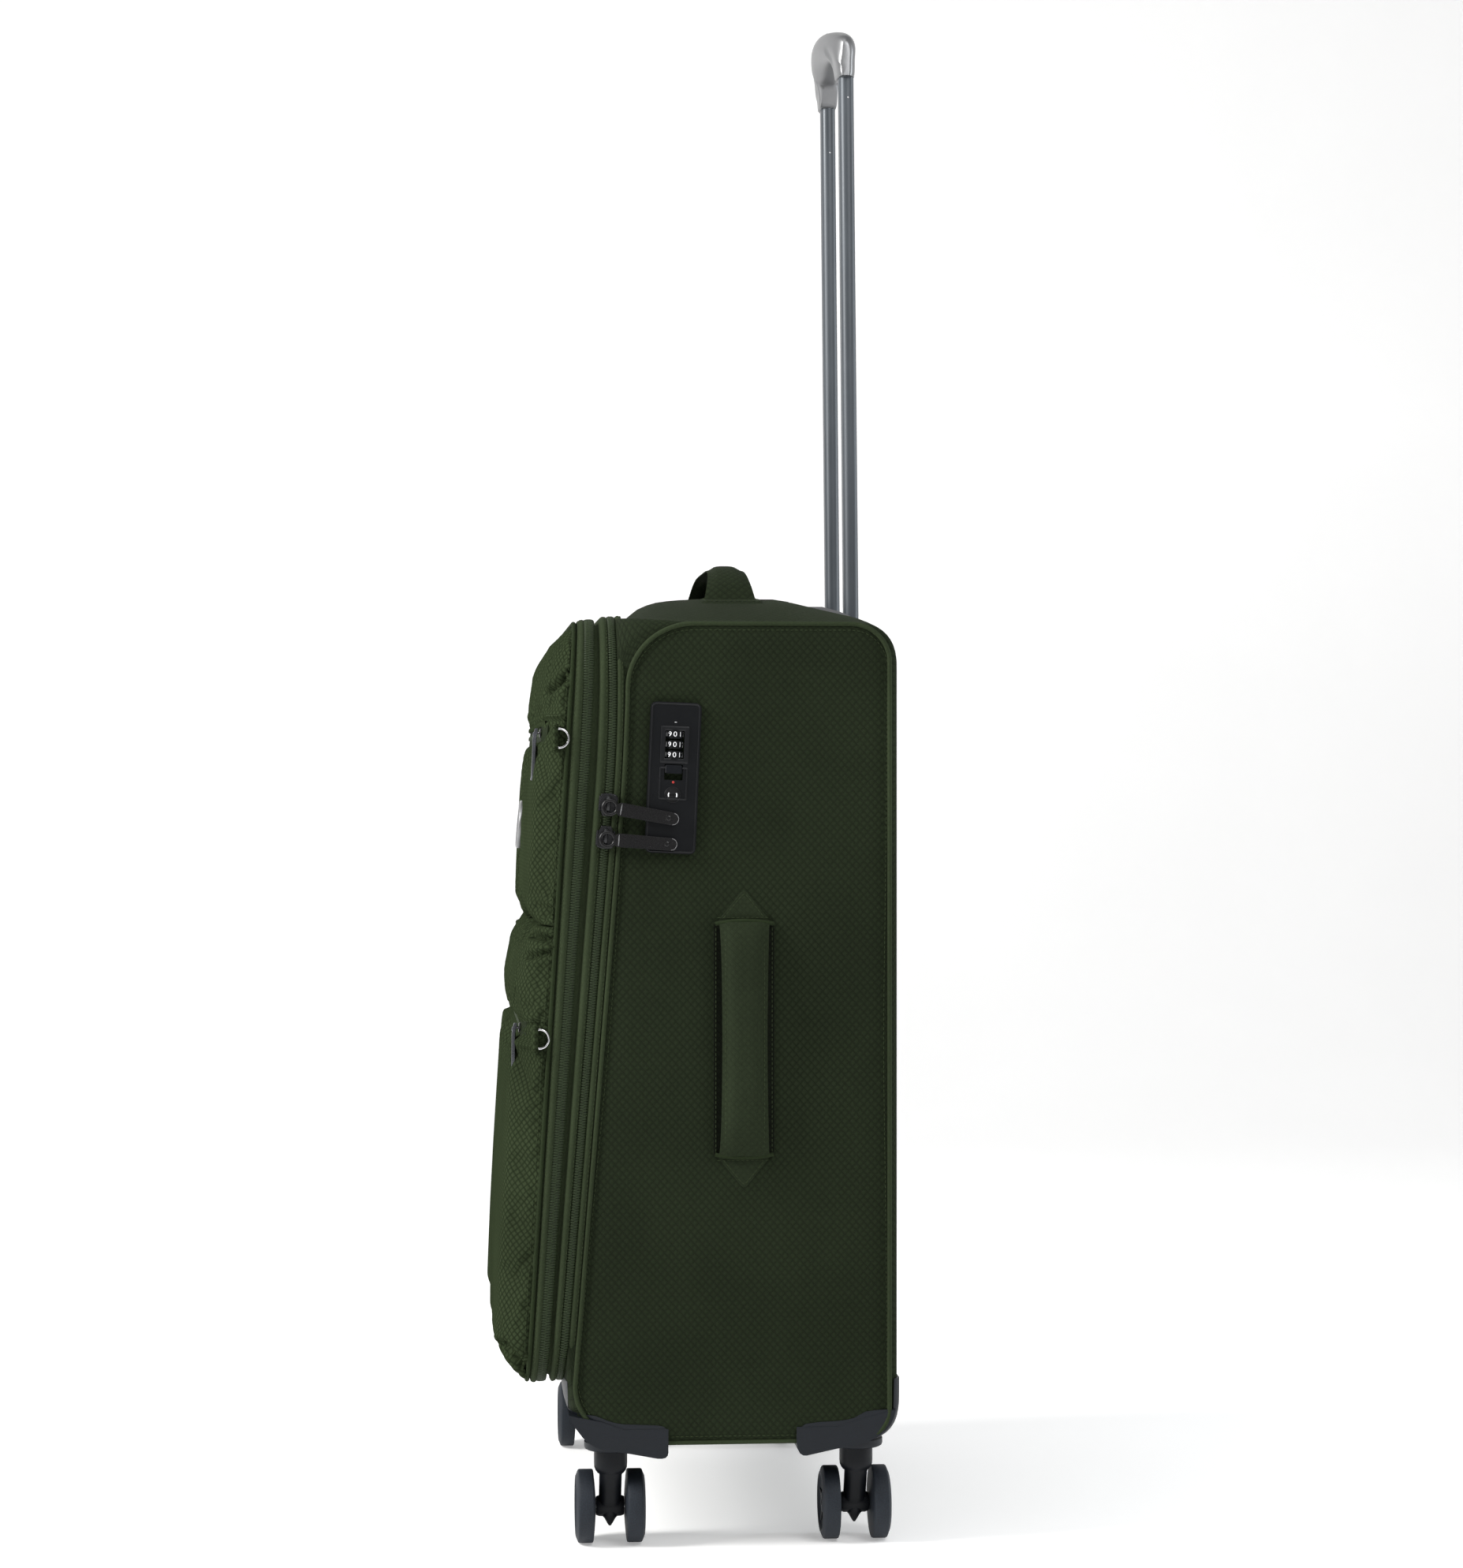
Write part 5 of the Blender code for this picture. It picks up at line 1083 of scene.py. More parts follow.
def make_side_handle():
    """Padded strap on the lock side with its backing patch (dark: painted shade of the recess), end lips, pointed
    patches and stitching.
    """
    cy, cz, half = SIDE_HANDLE_Y, SIDE_HANDLE_Z, SIDE_HANDLE_HALF
    rows = []
    for u in np.linspace(-1, 1, 61):
        foot = abs(u) ** 7
        out = 0.2186 - HANDLE_SINK * foot
        normal = Vector((1, 0, 0.5 * u ** 5)).normalized()
        crown = 0.0040 * (1 - 0.80 * foot) + 0.0002 * math.sin(9 * u)
        width = 0.0362 - 0.0042 * math.cos(u * math.pi / 2) ** 0.5
        rows.append(strap_ring(Vector((out, cy, cz + u * half)), normal, width, crown, crown * 0.5))
    strap = Form().rod(rows).piece("side_handle_strap", "case", "webbing", ["strap_weave"], ["side_handle"], 60)
    form = Form()
    # backing patch in the pressed hollow under the strap; its dark colour is painted shade of the recess
    patch = rounded(0.0430, 0.1680, 0.004)
    form.rod(slab([(a + cy, b + cz) for a, b in patch], 0.2098, 0.2108, 0.0004), 2)
    for side in (1, -1):
        edge = cz + side * 0.0828
        tip = [(cy - 0.0185, edge), (cy + 0.0185, edge), (cy + 0.0165, edge + side * 0.0035),
               (cy + 0.0022, edge + side * 0.0212), (cy, edge + side * 0.0226), (cy - 0.0022, edge + side * 0.0212),
               (cy - 0.0165, edge + side * 0.0035)]
        form.rod(slab(tip, 0.2100, 0.2117, 0.0006), 0)
        path = resample(tip[:1:-1], 0.002)
        inner = [(0.2118, cy + (a - cy) * 0.88, edge + (b - edge) * 0.88) for a, b in path]
        stitches(form, inner, ACROSS, 1)
        bow = [(0.2128 + 0.0014 * math.cos(t * 1.4), cy + 0.0208 * t, edge + side * (0.0010 - 0.0022 * t * t))
               for t in np.linspace(-1, 1, 21)]
        form.tube(bow, 0.0015, 3, sides=10, normal=ACROSS)
        for line in ([(0.2118, cy + 0.0190 * t, edge + side * 0.0031) for t in np.linspace(-1, 1, 14)],
                     [(0.2109, cy + side * 0.0200, cz + 0.080 * t) for t in np.linspace(-1, 1, 60)],
                     [(0.2197 - HANDLE_SINK * abs(u) ** 7, cy + side * 0.0138, cz + u * half)
                      for u in np.linspace(-0.93, 0.93, 60)]):
            stitches(form, line, ACROSS, 1)
    form.piece("side_handle_patches", "case", "webbing", ["strap_weave", "thread", "backing_patch_painted_shade", "cord_weave"],
               merge=False)


def top_surface(x):
    """Height of the case's top over the handle's feet."""
    return SIDE_TOP_Z + CROWN * (1 - (abs(x) / (HALF_WIDTH - EDGE_RADIUS)) ** 2.5)


def make_top_handle():
    """Padded grab strap that arches along X over the crown, with sewn-down feet."""
    cy = TOP_HANDLE_Y
    rows = []
    for u in np.linspace(-1, 1, 73):
        foot = min(1.0, abs(u)) ** 5
        x = TOP_HANDLE_HALF * u
        z = TOP_HANDLE_Z - (TOP_HANDLE_Z - TOP_HANDLE_FOOT_Z) * foot - 0.004 * max(0.0, abs(u) - 0.93) / 0.07
        slope = 0.024 * 5 * abs(u) ** 4 / TOP_HANDLE_HALF * (1 if u > 0 else -1)
        normal = Vector((slope, 0, 1)).normalized()
        width = 0.0264 + 0.0100 * foot ** 0.9 + 0.0040 * foot ** 6
        crown = 0.0032 * (1 - 0.80 * foot)
        rows.append(strap_ring(Vector((x, cy, z)), normal, width, crown, crown * 0.7))
    strap = Form().rod(rows).piece("top_handle_strap", "case", "webbing", ["side_weave"], ["top_handle"], 60)
    form = Form()
    for side in (1, -1):
        rows = []
        for t in np.linspace(0, 1, 9):
            x = side * (0.098 + 0.030 * t)
            width = 0.0215 + 0.0015 * math.sin(math.pi * t)
            rows.append([(x, cy + width * s, top_surface(x) + (0.0014 if abs(s) < 0.96 and 0 < t < 1 else 0.0))
                         for s in (-1, -0.95, -0.5, 0, 0.5, 0.95, 1)])
        form.grid(rows, 0)
        for (x0, y0), (x1, y1) in (((0.1250, -0.019), (0.1250, 0.019)), ((0.104, -0.0195), (0.124, -0.0195)),
                                   ((0.104, 0.0195), (0.124, 0.0195))):
            line = resample([(side * x0, cy + y0), (side * x1, cy + y1)], 0.003)
            stitches(form, [(x, y, top_surface(x) + 0.0015) for x, y in line], UP, 1)
    form.piece("top_handle_feet", "case", "webbing", ["side_weave", "thread"], merge=False)


# ---------------------------------------------------------------- lock
def lock_frame():
    """From the lock's own axes to the case."""
    return Matrix.Translation(LOCK_CENTRE) @ Matrix.Rotation(-LOCK_TILT, 4, "X")


def frame_ring(width, height, radius, rim, low, high, centre):
    """Rows of a raised rounded frame about a centre, in the lock's axes."""
    rows = []
    for inset, level in ((0, low), (0, high - 0.0002), (0.0003, high), (rim - 0.0003, high), (rim, high - 0.0002),
                         (rim, low)):
        rows.append([(level, a, b + centre) for a, b in rounded(width - 2 * inset, height - 2 * inset,
                                                               max(radius - inset, 0.0003), 6)])
    return rows


def make_lock():
    """Frames, marks and slot of the lock, numbers on its dials and a ring round its key."""
    place = lock_frame()
    face = 0.0034
    form = Form()
    for width, height, radius, rim, raised, centre, look in (
            (0.0345, 0.1055, 0.0035, 0.0010, 0.0004, 0, 1), (0.0200, 0.0262, 0.0010, 0.0032, 0.0006, 0.0235, 1),
            (0.0200, 0.0230, 0.0010, 0.0010, 0.0005, -0.0040, 1),
            (0.0118, 0.0118, 0.0058, 0.0006, 0.0006, -0.0120, 0)):
        form.grid(frame_ring(width, height, radius, rim, face - 0.0002, face + raised, centre), look, True, True)
    for k in (-1, 1):
        arc = [(face + 0.0007, 0.0030 * math.sin(k * a), -0.0122 + 0.0030 * math.cos(a))
               for a in np.linspace(1.0, 2.0, 7)]
        form.tube(arc, 0.00042, 2, sides=6, normal=ACROSS)
    form.solid(block((face - 0.0002, -0.0008, 0.0392), (face + 0.0002, 0.0008, 0.0396), 0.0001, 1), 2)
    form.rod(discs(((face - 0.0001, 0.0009), (face + 0.00025, 0.0009)), (0, -0.0030), 12), 3)
    form.move(place).piece("lock_trim", "case", "black_plastic", ["lock_plastic", "lock_frame", "white_print",
                                                                 "red_print"], merge=False)
    for index, height in enumerate(DIAL_HEIGHTS):
        form = Form()
        for k in range(10):
            curve = bpy.data.curves.new("digit", "FONT")
            curve.body, curve.size, curve.align_x, curve.align_y = str(k), 0.0050, "CENTER", "CENTER"
            curve.extrude = 0.00008
            text = bpy.data.objects.new("digit", curve)
            bpy.context.scene.collection.objects.link(text)
            bpy.context.view_layer.update()
            mesh = bpy.data.meshes.new_from_object(text.evaluated_get(bpy.context.evaluated_depsgraph_get()))
            bm = bmesh.new()
            bm.from_mesh(mesh)
            turn = k * math.pi / 5
            for v in bm.verts:
                a = turn + v.co.x * 1.12 / DIAL_RADIUS
                reach = DIAL_RADIUS + 0.00006 + v.co.z
                v.co = Vector((-DIAL_DEPTH + reach * math.cos(a), reach * math.sin(a), height + v.co.y))
            form.solid(bm)
            bpy.data.objects.remove(text, do_unlink=True)
            bpy.data.meshes.remove(mesh)
        for k in range(10):
            a = (k + 0.5) * math.pi / 5
            rib = [Vector((-DIAL_DEPTH + (DIAL_RADIUS + 0.00005) * math.cos(a),
                           (DIAL_RADIUS + 0.00005) * math.sin(a), height + t)) for t in (-0.0023, 0.0, 0.0023)]
            form.tube(rib, 0.00028, 1, sides=6, normal=ACROSS)
        form.move(place).piece("dial_numbers_%d" % (index + 1), "lock_dial_%d" % (index + 1), "black_plastic",
                               ["white_print", "lock_frame"], merge=False)


# ---------------------------------------------------------------- main sliders
def make_main_sliders():
    """Two sliders on the main zip, and their eyelet pulls, which end on the lock plate."""
    for name, height, drop in zip(("upper", "lower"), SLIDER_HEIGHTS, PULL_DROPS):
        y = zip_line(height)
        turn = Matrix.Translation((0.2100, y, height)) @ Matrix.Rotation(-math.atan(ZIP_LEAN), 4, "X")
        if name == "lower":
            turn = turn @ Matrix.Rotation(math.pi, 4, "X")
        body = slider(1.16).move(turn).piece("main_slider_%s_body" % name, "main_slider_" + name, "gunmetal",
                                                    ["gunmetal"], ["main_slider_" + name], 30, False)
        soften(body, 0.0002, 1)
        start = Vector((0.2105 + 0.0050 + 0.0003 + 0.001, y - 0.0035, height - 0.001))
        half = 0.0048
        bar = [(0.0086, -0.0030), (0.0120, -half), (0.0500, -half * 0.94)]
        bar += [(0.0500 + 0.0038 * math.cos(a), half * 0.94 * math.sin(a)) for a in np.linspace(-1.4, 1.4, 11)]
        bar += [(0.0500, half * 0.94), (0.0120, half), (0.0086, 0.0030)]
        form = pull_plate(bar, 0.0022, [(0.0465, 0.0019)])
        eye = [(0.0, 0.0046 + 0.0050 * math.cos(a), 0.0050 * math.sin(a)) for a in np.linspace(0, 2 * math.pi, 28,
                                                                                             endpoint=False)]
        form.tube(eye, 0.0012, sides=10, closed=True, normal=ACROSS)
        form.rod(discs(((0.0008, 0.0004, 0.0042), (0.0013, 0.0004, 0.0042)), (0.0126, 0), 12), 1)
        rim = [(0.0011, a, b * 0.90) for a, b in resample(bar[2:-2], 0.0015, axes=2)]
        form.tube(rim, 0.00030, 1, sides=6, normal=ACROSS)
        for k in range(4):
            a = math.pi / 4 + k * math.pi / 2
            form.solid(block((0.0010, 0.0465 + 0.0024 * math.cos(a) - 0.0003, 0.0024 * math.sin(a) - 0.0003),
                             (0.0016, 0.0465 + 0.0024 * math.cos(a) + 0.0003, 0.0024 * math.sin(a) + 0.0003),
                             0.0001, 1))
        form.move(Matrix.Translation(start) @ Matrix.Rotation(-drop, 4, "X"))
        form.piece("main_pull_%s_tab" % name, "main_pull_" + name, "gunmetal", ["pull_metal", "steel"],
                   ["main_pull_" + name], 30, False)


# ---------------------------------------------------------------- trolley
def tube_at(z):
    """Y of the telescopic tubes' centre at a height."""
    return TUBE_Y + TUBE_LEAN * (z - 0.68)


def make_trolley():
    """Flat-oval tubes with their studs, and the arched silver grip with its button well."""
    for side, name in ((-1, "left"), (1, "right")):
        shape = stadium(TUBE_LENGTH, TUBE_WIDTH)
        inner = stadium(TUBE_LENGTH - 2 * TUBE_WALL, TUBE_WIDTH - 2 * TUBE_WALL)
        rows = []
        for ring, heights in ((shape, np.linspace(0.600, 1.0745, 24)), (inner, np.linspace(1.0745, 0.600, 3))):
            for z in heights:
                rows.append([(side * TUBE_HALF_SPACING + x, tube_at(z) + y, z) for x, y in ring])
        form = Form().grid(rows, 0, True, True)
        for z in (1.0382,) if side < 0 else (1.0575,):
            for face in (-1, 1):
                centre = Vector((side * TUBE_HALF_SPACING + face * 0.0094, tube_at(z) + 0.0006, z))
                form.rod([[centre + Vector((face * lift, r * math.cos(a), r * math.sin(a)))
                           for a in around(10)]
                          for lift, r in ((-0.0004, 0.0006), (0.0002, 0.0006), (0.0003, 0.0004))], 1)
        form.piece("trolley_tube_" + name, "trolley", "aluminium", ["tube_metal", "steel"], ["inner_tube_" + name],
                   50, False)
    places = [GRIP_HALF - GRIP_TOP_ROUND * (1 - math.sin(a)) for a in np.linspace(math.pi / 2, 0, 9)][:-1]
    places = sorted({round(x, 5) for x in places + list(np.linspace(0, 0.0695, 44))})
    rows = [grip_ring(x) for x in [-x for x in reversed(places[1:])] + places]
    well = Form().rod(arched_bar(BUTTON_HALF + 0.0005, tube_at(GRIP_TOP_Z) - 0.004, 0.0055, -0.0095, 0.013))
    well = well.item("well", ["silver_plastic"])
    grip = carved(Form().rod(rows).item("grip_body", ["silver_plastic"], 60), (well, "DIFFERENCE"))
    settle(grip, "trolley", ["grip"])


def grip_top(x):
    """Height of the grip's arched top at a place along it."""
    return GRIP_TOP_Z - GRIP_ARCH * (x / TUBE_HALF_SPACING) ** 2


def arched_bar(half_length, middle, half_width, low, high):
    """Rings of a bar along X that follows the grip's arch, between two levels from the grip's top."""
    return [[(x, middle + dy, grip_top(x) + dz) for dy, dz in
             ((-half_width, low), (half_width, low), (half_width, high), (-half_width, high))]
            for x in np.linspace(-half_length, half_length, 17)]


def grip_ring(x):
    """Section of the grip at a place along it: an arched bar, with sleeves over the tubes near its ends."""
    reach = abs(x)
    sleeve = min(1.0, max(0.0, (reach - SLEEVE_FROM) / SLEEVE_SPAN))
    sleeve = sleeve * sleeve * (3 - 2 * sleeve)

    def rounding(length):
        return math.sqrt(max(0.0, 1 - max(0.0, (reach - (GRIP_HALF - length)) / length) ** 2))
    width, height = 0.30 + 0.70 * rounding(GRIP_END_ROUND), 0.84 + 0.16 * rounding(GRIP_TOP_ROUND)
    top = grip_top(x)
    nose = GRIP_NOSE - GRIP_BOW * (x / TUBE_HALF_SPACING) ** 2
    floor = GRIP_LOW_Z * sleeve + (top - GRIP_DEPTH) * (1 - sleeve)
    under = floor - 0.0040 * sleeve

    def between(bar, leg):
        return bar * (1 - sleeve) + leg * sleeve

    profile = np.array((
        (between(0.0045, 0.0060), under), (0.0066, between(under + 0.0050, 1.0850)), (0.0073, top - 0.0125),
        (0.0068, top - 0.0070), (0.0045, top - 0.0022), (0.0, top), (-0.50 * nose, top - 0.0003),
        (-0.80 * nose, top - 0.0022), (-0.96 * nose, top - 0.0065), (-nose, top - 0.0110),
        (between(-0.94 * nose, -0.0092), between(top - 0.0165, top - 0.0190)),
        (between(-0.72 * nose, -0.0074), between(top - 0.0215, 1.0810)), (between(-0.30 * nose, -0.0062), under)))
    a, b, c, d = (np.roll(profile, shift, 0)[:, None] for shift in (1, 0, -1, -2))
    t = np.linspace(0, 1, 5, endpoint=False)[None, :, None]
    dense = catmull(a, b, c, d, t).reshape(-1, 2)
    for _ in range(6):
        dense = (np.roll(dense, 1, 0) + 2 * dense + np.roll(dense, -1, 0)) / 4
    middle = -0.3 * nose
    return [(x, tube_at(1.09) + middle + (y - middle) * width, max(floor, floor + (z - floor) * height))
            for y, z in dense]


# ---------------------------------------------------------------- casters
def make_casters():
    """Curved forks with pointed feet and hubs, and wheels with grained flat treads and spoked faces."""
    for front, end in ((True, "front"), (False, "rear")):
        for side, hand in ((1, "right"), (-1, "left")):
            name = "caster_%s_%s" % (end, hand)
            x, y = side * CASTER_X, CASTER_Y[0] if front else CASTER_Y[1]
            axle_x = x - CASTER_TRAIL
            form = Form()
            form.rod(discs(((0.0687, 0.0113), (0.0683, 0.0119), (0.0586, 0.0119), (0.0560, 0.0117),
                            (0.0538, 0.0108), (0.0520, 0.0095)), (x, y), 40, "Z"))
            rows = []
            for t in np.linspace(0, 1, 26):
                z = 0.0560 - 0.0345 * t
                centre = x - CASTER_TRAIL * (3 * t * t - 2 * t ** 3) - 0.0005
                half_x = 0.0092 - 0.0012 * math.sin(math.pi * t) - 0.0030 * max(0.0, t - 0.75) / 0.25
                half_y = 0.0080 + 0.0030 * max(0.0, 0.16 - t) / 0.16 - 0.0012 * max(0.0, t - 0.8) / 0.2
                rows.append([(centre + half_x * math.copysign(abs(math.cos(a)) ** 0.7, math.cos(a)),
                              y + half_y * math.copysign(abs(math.sin(a)) ** 0.7, math.sin(a)), z)
                             for a in around(36)])
            form.rod(rows)
            inner = WHEEL_OFFSET - WHEEL_WIDTH / 2 - 0.0006
            form.grid(lathe(((BORE_RADIUS, -inner), (0.0066, -inner), (0.0074, -inner + 0.0022), (0.0078, 0.0),
                             (0.0074, inner - 0.0022), (0.0066, inner), (BORE_RADIUS, inner)),
                            (axle_x, y, AXLE_Z), 40), 0, True, True)
            form.rod(discs(((0.0230, 0.0072, 0.0072), (0.0205, 0.0070, 0.0070), (0.0190, 0.0062, 0.0057),
                            (0.0172, 0.0050, 0.0040), (0.0150, 0.0036, 0.0028), (0.0130, 0.0022, 0.0016),
                            (0.0118, 0.0010, 0.0008)), (axle_x, y), 28, "Z"))
            form.piece(name + "_body", name, "black_plastic", ["black_plastic"], [name + "_fork"], 45, False)
            for turn, label in ((-1, "wheel_front"), (1, "wheel_rear")):
                centre = (axle_x, y + turn * WHEEL_OFFSET, AXLE_Z)
                h = WHEEL_WIDTH / 2
                profile = ((BORE_RADIUS, -h), (0.0110, -h), (0.0190, -h + 0.0007), (0.0250, -h + 0.0014),
                           (0.0257, -h + 0.0017), (AXLE_Z, -h + 0.0026), (AXLE_Z, h - 0.0028),
                           (0.0257, h - 0.0019), (0.0250, h - 0.0015), (0.0228, h - 0.0006), (0.0214, h),
                           (0.0200, h - 0.0003), (0.0192, h - 0.0014), (0.0180, h - 0.0022), (0.0100, h - 0.0036),
                           (0.0085, h - 0.0034), (0.0078, h - 0.0018), (0.0062, h - 0.0010),
                           (BORE_RADIUS, h - 0.0009))
                wheel = Form().grid(lathe([(r, turn * o) for r, o in profile], centre, 72), 0, True, True)
                for k in range(5):
                    a = 2 * math.pi * k / 5 + 0.3
                    c, s = math.cos(a), math.sin(a)
                    spoke = [(centre[0] + r * c, centre[1] + turn * (h - 0.0026), centre[2] + r * s)
                             for r in (0.0080, 0.0120, 0.0160, 0.0190)]
                    wheel.tube(spoke, 0.0014, 1, flat=0.9, normal=DEEP)
                wheel.piece("%s_%s_tread" % (name, label), "%s_%s" % (name, label), "tyre", ["tyre", "black_plastic"],
                            ["%s_%s" % (name, label)], 45, False)


# ---------------------------------------------------------------- corner guards
def guard_outline(front):
    """Side view of a corner guard as (y, z) points."""
    if front:
        return [(-0.135, 0.060), (-0.0213, 0.060), (-0.0213, 0.0835), (-0.0226, 0.0868), (-0.0252, 0.0886),
                (-0.0290, 0.0894), (-0.0400, 0.0899), (-0.0530, 0.0905), (-0.0590, 0.0915), (-0.0640, 0.0930),
                (-0.0690, 0.0951), (-0.0730, 0.0966), (-0.0820, 0.0976), (-0.0915, 0.0985), (-0.0925, 0.1200),
                (-0.135, 0.1200)]
    return [(0.165, 0.060), (0.0698, 0.060), (0.0698, 0.0800), (0.0704, 0.0830), (0.0724, 0.0864), (0.0765, 0.0890),
            (0.0860, 0.0901), (0.1000, 0.0908), (0.1060, 0.0915), (0.1110, 0.0928), (0.1150, 0.0950),
            (0.1190, 0.0970), (0.1260, 0.0980), (0.1390, 0.0985), (0.1395, 0.1200), (0.165, 0.1200)]


def skirt_outline(front):
    """Side view of the block under a guard: its lower face slopes down towards the middle of the case."""
    if front:
        return [(-0.0530, 0.0868), (-0.0690, 0.0925), (-0.0860, 0.0958), (-0.0915, 0.0972), (-0.0893, 0.0923),
                (-0.0870, 0.0882), (-0.0821, 0.0818), (-0.0785, 0.0782), (-0.0751, 0.0758), (-0.0709, 0.0738),
                (-0.0620, 0.0718), (-0.0507, 0.0700), (-0.0390, 0.0678), (-0.0290, 0.0659), (-0.0258, 0.0658),
                (-0.0232, 0.0664), (-0.0218, 0.0680), (-0.0213, 0.0700), (-0.0213, 0.0868)]
    return [(0.1000, 0.0868), (0.1130, 0.0912), (0.1300, 0.0955), (0.1404, 0.0985), (0.1392, 0.0930),
            (0.1370, 0.0880), (0.1333, 0.0832), (0.1290, 0.0797), (0.1250, 0.0775), (0.1198, 0.0752),
            (0.1100, 0.0731), (0.0973, 0.0708), (0.0860, 0.0684), (0.0770, 0.0665), (0.0745, 0.0666),
            (0.0722, 0.0680), (0.0704, 0.0712), (0.0698, 0.0748), (0.0698, 0.0868)]


def grown_case(amount, ahead=0.0):
    """The case's outer form as a closed object, grown by an amount and run on ahead of the rim."""
    rings = case_rings(-amount, CAD_EDGE_RADIUS)
    if ahead:
        rings.insert(0, [(x, y - ahead, z) for x, y, z in rings[0]])
    return Form().rod(rings).item("grown", ["guard_plastic"])


def make_guards():
    """Moulded corner guards with smooth edges, and the collars of the casters under them."""
    for front, end in ((True, "front"), (False, "rear")):
        tools = []
        for shape, low, high in ((guard_outline(front), 0.130, 0.230), (skirt_outline(front), 0.160, 0.2118)):
            tool = Form().rod([[(x, y, z) for y, z in shape] for x in (low, high)])
            tools.append(tool.item("cut", ["guard_plastic"]))
        shell = carved(grown_case(0.0016), (tools[0], "INTERSECT"), (tools[1], "UNION"),
                       (grown_case(0.0003, 0.004), "DIFFERENCE"))
        mesh = shell.data
        bpy.data.objects.remove(shell, do_unlink=True)
        y = CASTER_Y[0] if front else CASTER_Y[1]
        for side, hand in ((1, "right"), (-1, "left")):
            bm = bmesh.new()
            bm.from_mesh(mesh)
            bmesh.ops.transform(bm, matrix=Matrix.Diagonal((side, 1, 1, 1)), verts=bm.verts[:])
            form = Form().solid(bm)
            form.rod(discs(((0.0746, 0.0190), (0.0712, 0.0190), (0.0698, 0.0186), (BOSS_LOW_Z, 0.0172)),
                           (side * CASTER_X, y), 48, "Z"))
            name = "corner_guard_%s_%s" % (end, hand)
            guard = form.piece(name + "_shell", "case", "moulded_plastic", ["guard_plastic"], [name], 40)
            soften(guard, 0.0005, 2, 50)


# ---------------------------------------------------------------- inside the case
def make_inside():
    """Quilted back lining, and packing straps with their stitches."""
    rows = []
    for z in np.linspace(0.094, 0.640, 110):
        row = []
        for x in np.linspace(-0.196, 0.196, 80):
            quilt = abs(math.sin(x * math.pi / 0.056)) ** 0.5 * abs(math.sin((z - 0.094) * math.pi / 0.0607)) ** 0.5
            row.append((x, 0.1140 - 0.0022 * quilt, z))
        rows.append(row)
    lining = thicken(Form().grid(rows).item("quilted_lining", ["lining"], 60), 0.0010, 0.0)
    settle(lining, "case", ["back_lining"])
    for side, name in ((-1, "left"), (1, "right")):
        rows = []
        for t in np.linspace(0, 1, 40):
            x = side * (0.0323 + (0.1870 - 0.0323) * t)
            y = 0.1103 - 0.0022 * math.sin(math.pi * t) + 0.0004 * math.sin(14 * t)
            rows.append([(x, y - h, 0.4525 + w) for h, w in ((0, -0.0125), (0.0012, -0.0122), (0.0014, 0.0),
                                                            (0.0012, 0.0122), (0, 0.0125), (-0.0001, 0.0))])
        form = Form().rod(rows)
        for back in (0.1770, 0.1820):
            stitches(form, [(side * back, 0.1090, z) for z in np.linspace(0.442, 0.463, 9)], -DEEP, 1)
        form.piece("packing_webbing_" + name, "case", "webbing", ["webbing", "thread"], ["packing_strap_" + name],
                   50, False)


def make_back_seams():
    """Corded and stitched seams on the back panel beside the telescopic tubes."""
    form = Form()
    for x in (-0.150, -0.095, 0.095, 0.150):
        line = [(x, BACK_Y + 0.0003, z) for z in np.linspace(0.112, 0.622, 170)]
        stitches(form, line, DEEP, 1)
        cord = [(x + 0.0022, BACK_Y + 0.0001, z) for z in np.linspace(0.108, 0.626, 90)]
        form.tube(cord, 0.0009, normal=DEEP)
    form.piece("back_seams", "case", "ripstop", ["cord_weave", "thread"], merge=False)


# ---------------------------------------------------------------- materials of the pieces kept from the frame
def dress_frame():
    """Materials and softened edges for the hard pieces that are kept."""
    kept = {"lock_plate": ("lock_plastic", 0.0007), "lock_button": ("black_plastic", 0.0003),
            "key_cylinder": ("key_metal", 0.0003), "trolley_bezel": ("bezel_plastic", 0.0010),
            "outer_tube_left": ("tube_metal", 0.0), "outer_tube_right": ("tube_metal", 0.0),
            "tube_foot_bracket": ("black_plastic", 0.0008), "strap_buckle": ("black_plastic", 0.0),
            "grip_button": ("silver_plastic", 0.0)}
    for node_name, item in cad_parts.items():
        if node_name.startswith("lock_dial"):
            look, width = "lock_plastic", 0.0003
        elif node_name.endswith("_axle"):
            look, width = "steel", 0.0003
        elif node_name in kept:
            look, width = kept[node_name]
        else:
            continue
        item.data.materials.clear()
        item.data.materials.append(LOOKS[look])
        if width:
            soften(item, width)


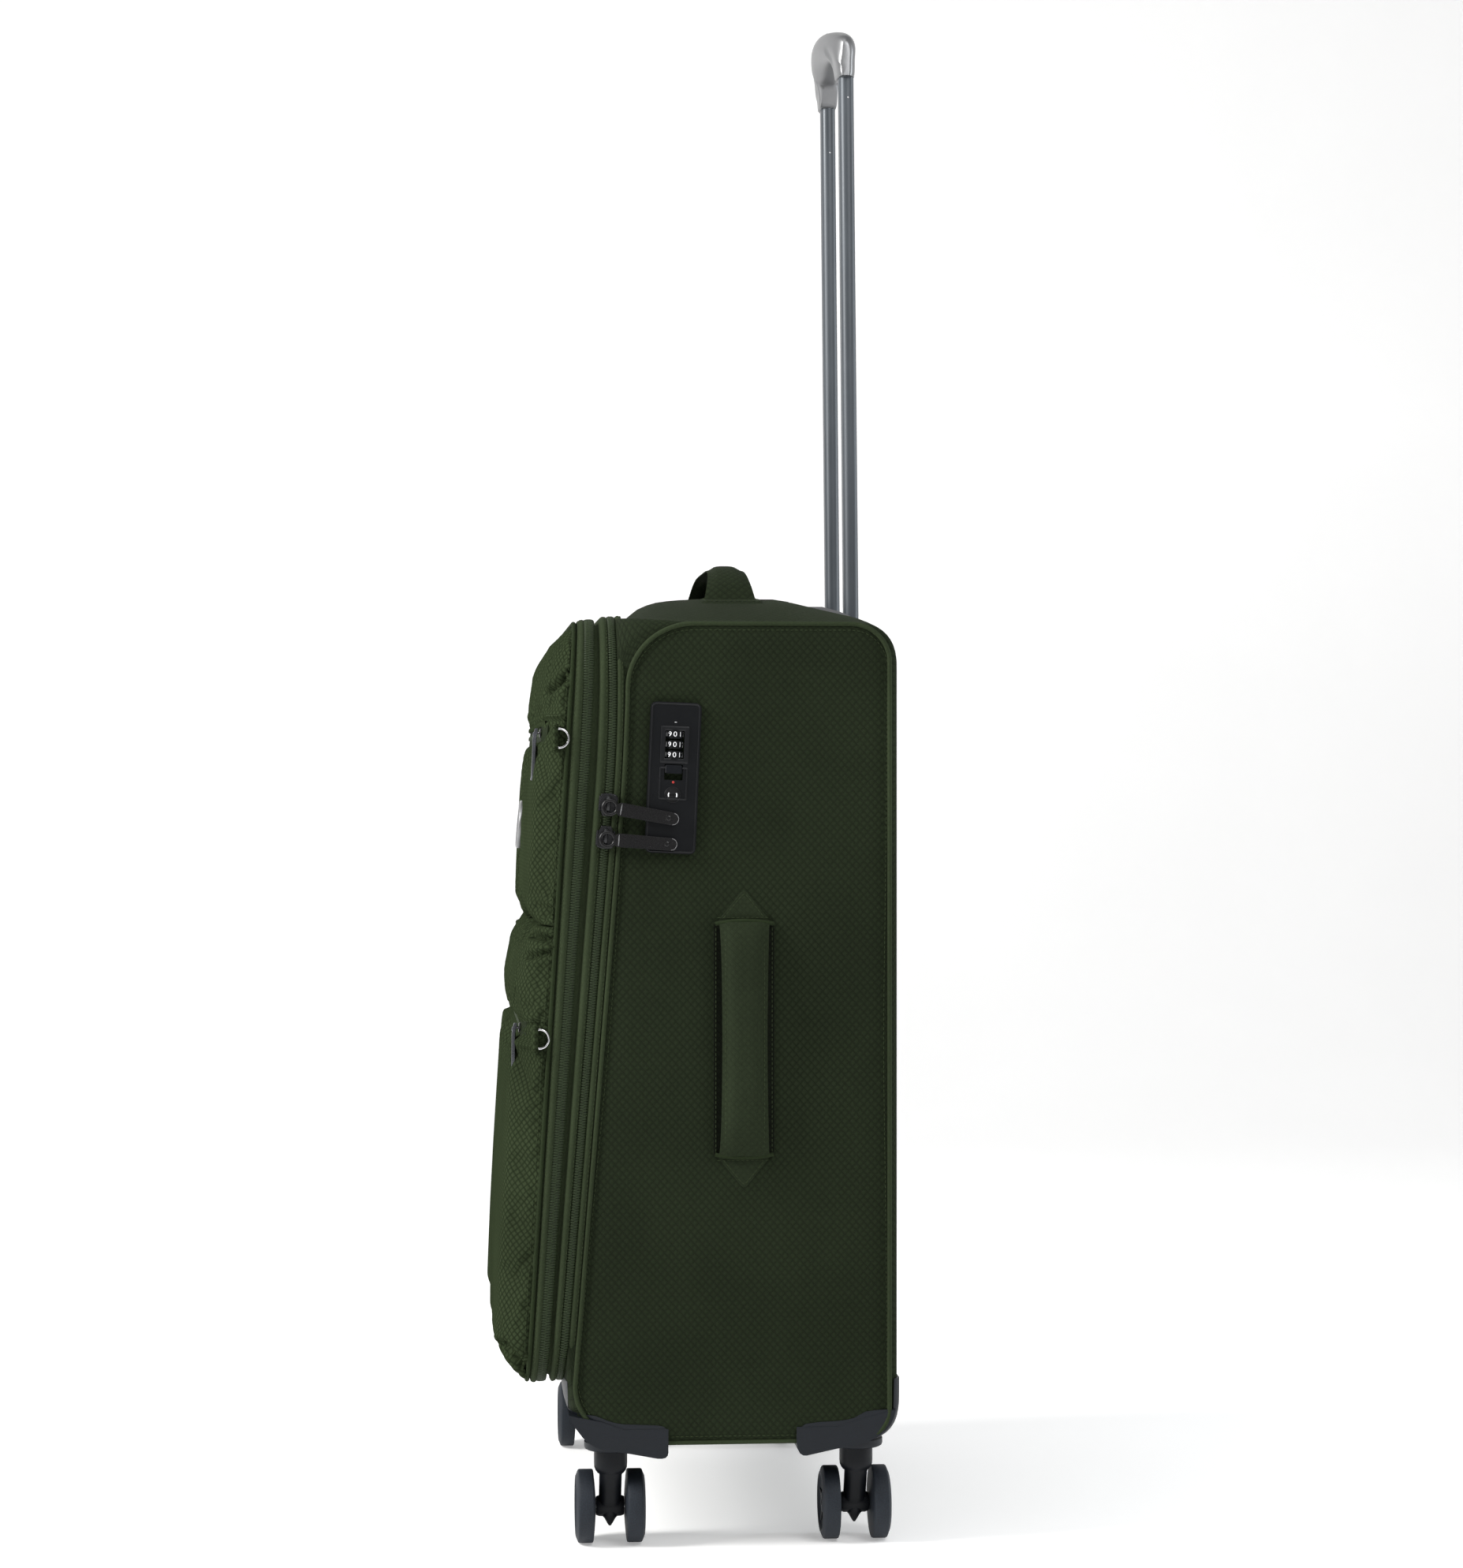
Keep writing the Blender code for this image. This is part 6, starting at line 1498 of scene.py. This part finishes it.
# ---------------------------------------------------------------- studio
def make_studio():
    """Pale floor that sweeps up behind, soft lights, and the camera."""
    profile = [(FLOOR_REACH, 0.0), (SWEEP_X, 0.0)]
    for k in range(1, 13):
        a = math.pi / 2 * k / 12
        profile.append((SWEEP_X - SWEEP_RADIUS * math.sin(a), SWEEP_RADIUS * (1 - math.cos(a))))
    profile.append((SWEEP_X - SWEEP_RADIUS, WALL_TOP_Z))
    form = Form().grid([[(x, y, z - 0.0004) for y in (-FLOOR_REACH, FLOOR_REACH)] for x, z in profile])
    tree, shader = new_look("floor_paper", 0.75, 0.0, 0.2)
    place = node(tree, "TexCoord").outputs["Object"]
    dress(tree, shader, (0.88, 0.88, 0.88), ramp(tree, noise(tree, place, 3.0, 2.0), 0.3, 0.7, 0.985, 1.0))
    shader.inputs["Emission Color"].default_value = (1, 1, 1, 1)
    shader.inputs["Emission Strength"].default_value = 0.30
    form.item("floor", ["floor_paper"])
    world = bpy.data.worlds.new("studio")
    bpy.context.scene.world = world
    world.use_nodes = True
    sky = world.node_tree.nodes["Background"].inputs
    sky["Color"].default_value, sky["Strength"].default_value = (1.0, 1.0, 1.0, 1.0), 0.30
    for name, place, target, size, power, colour in (
            ("key", (0.60, -2.3, 1.80), (0.05, -0.10, 0.58), (0.9, 1.3), 104.0, (1.0, 0.99, 0.97)),
            ("rim", (-0.10, 2.4, 0.95), (0.0, 0.14, 0.60), (0.5, 1.6), 26.0, (0.93, 0.97, 1.0)),
            ("top", (0.90, -0.35, 2.60), (0.0, 0.0, 0.60), (1.4, 1.4), 10.0, (1.0, 1.0, 1.0)),
            ("fill", (1.35, 0.65, 1.60), (0.21, 0.08, 0.62), (0.8, 0.8), 12.5, (1.0, 1.0, 1.0))):
        light = bpy.data.lights.new(name, "AREA")
        light.shape, light.size, light.size_y = "RECTANGLE", *size
        light.energy, light.color = power, colour
        lamp = bpy.data.objects.new(name, light)
        bpy.context.scene.collection.objects.link(lamp)
        lamp.location = place
        lamp.rotation_euler = (Vector(target) - Vector(place)).to_track_quat("-Z", "Y").to_euler()
    bpy.context.scene.view_settings.view_transform = "Standard"
    data = bpy.data.cameras.new("camera")
    data.lens, data.sensor_width, data.clip_start = LENS, SENSOR, 0.05
    eye = bpy.data.objects.new("camera", data)
    bpy.context.scene.collection.objects.link(eye)
    eye.location = EYE
    eye.rotation_euler = Vector((-math.cos(EYE_YAW), math.sin(EYE_YAW), 0)).to_track_quat("-Z", "Y").to_euler()
    bpy.context.scene.camera = eye


LOOKS = {}
make_looks()
make_studio()
CASE_TREE = make_case()
make_side(CASE_TREE, 1, "right")
make_side(CASE_TREE, -1, "left")
make_bands()
make_zips()
make_hinge()
make_pocket("upper_pocket", UPPER_PROFILE, UPPER_ZIP, UPPER_CREASES)
make_pocket("lower_pocket", LOWER_PROFILE, LOWER_ZIP, LOWER_CREASES)
make_pocket_zip("upper_pocket", UPPER_ZIP)
make_pocket_zip("lower_pocket", LOWER_ZIP)
make_lid_inside()
make_badge()
make_ring("upper_d_ring", -0.1000, 0.5750)
make_ring("lower_d_ring", -0.1140, 0.3625)
make_side_handle()
make_top_handle()
make_lock()
make_main_sliders()
make_trolley()
make_casters()
make_guards()
make_inside()
make_back_seams()
dress_frame()
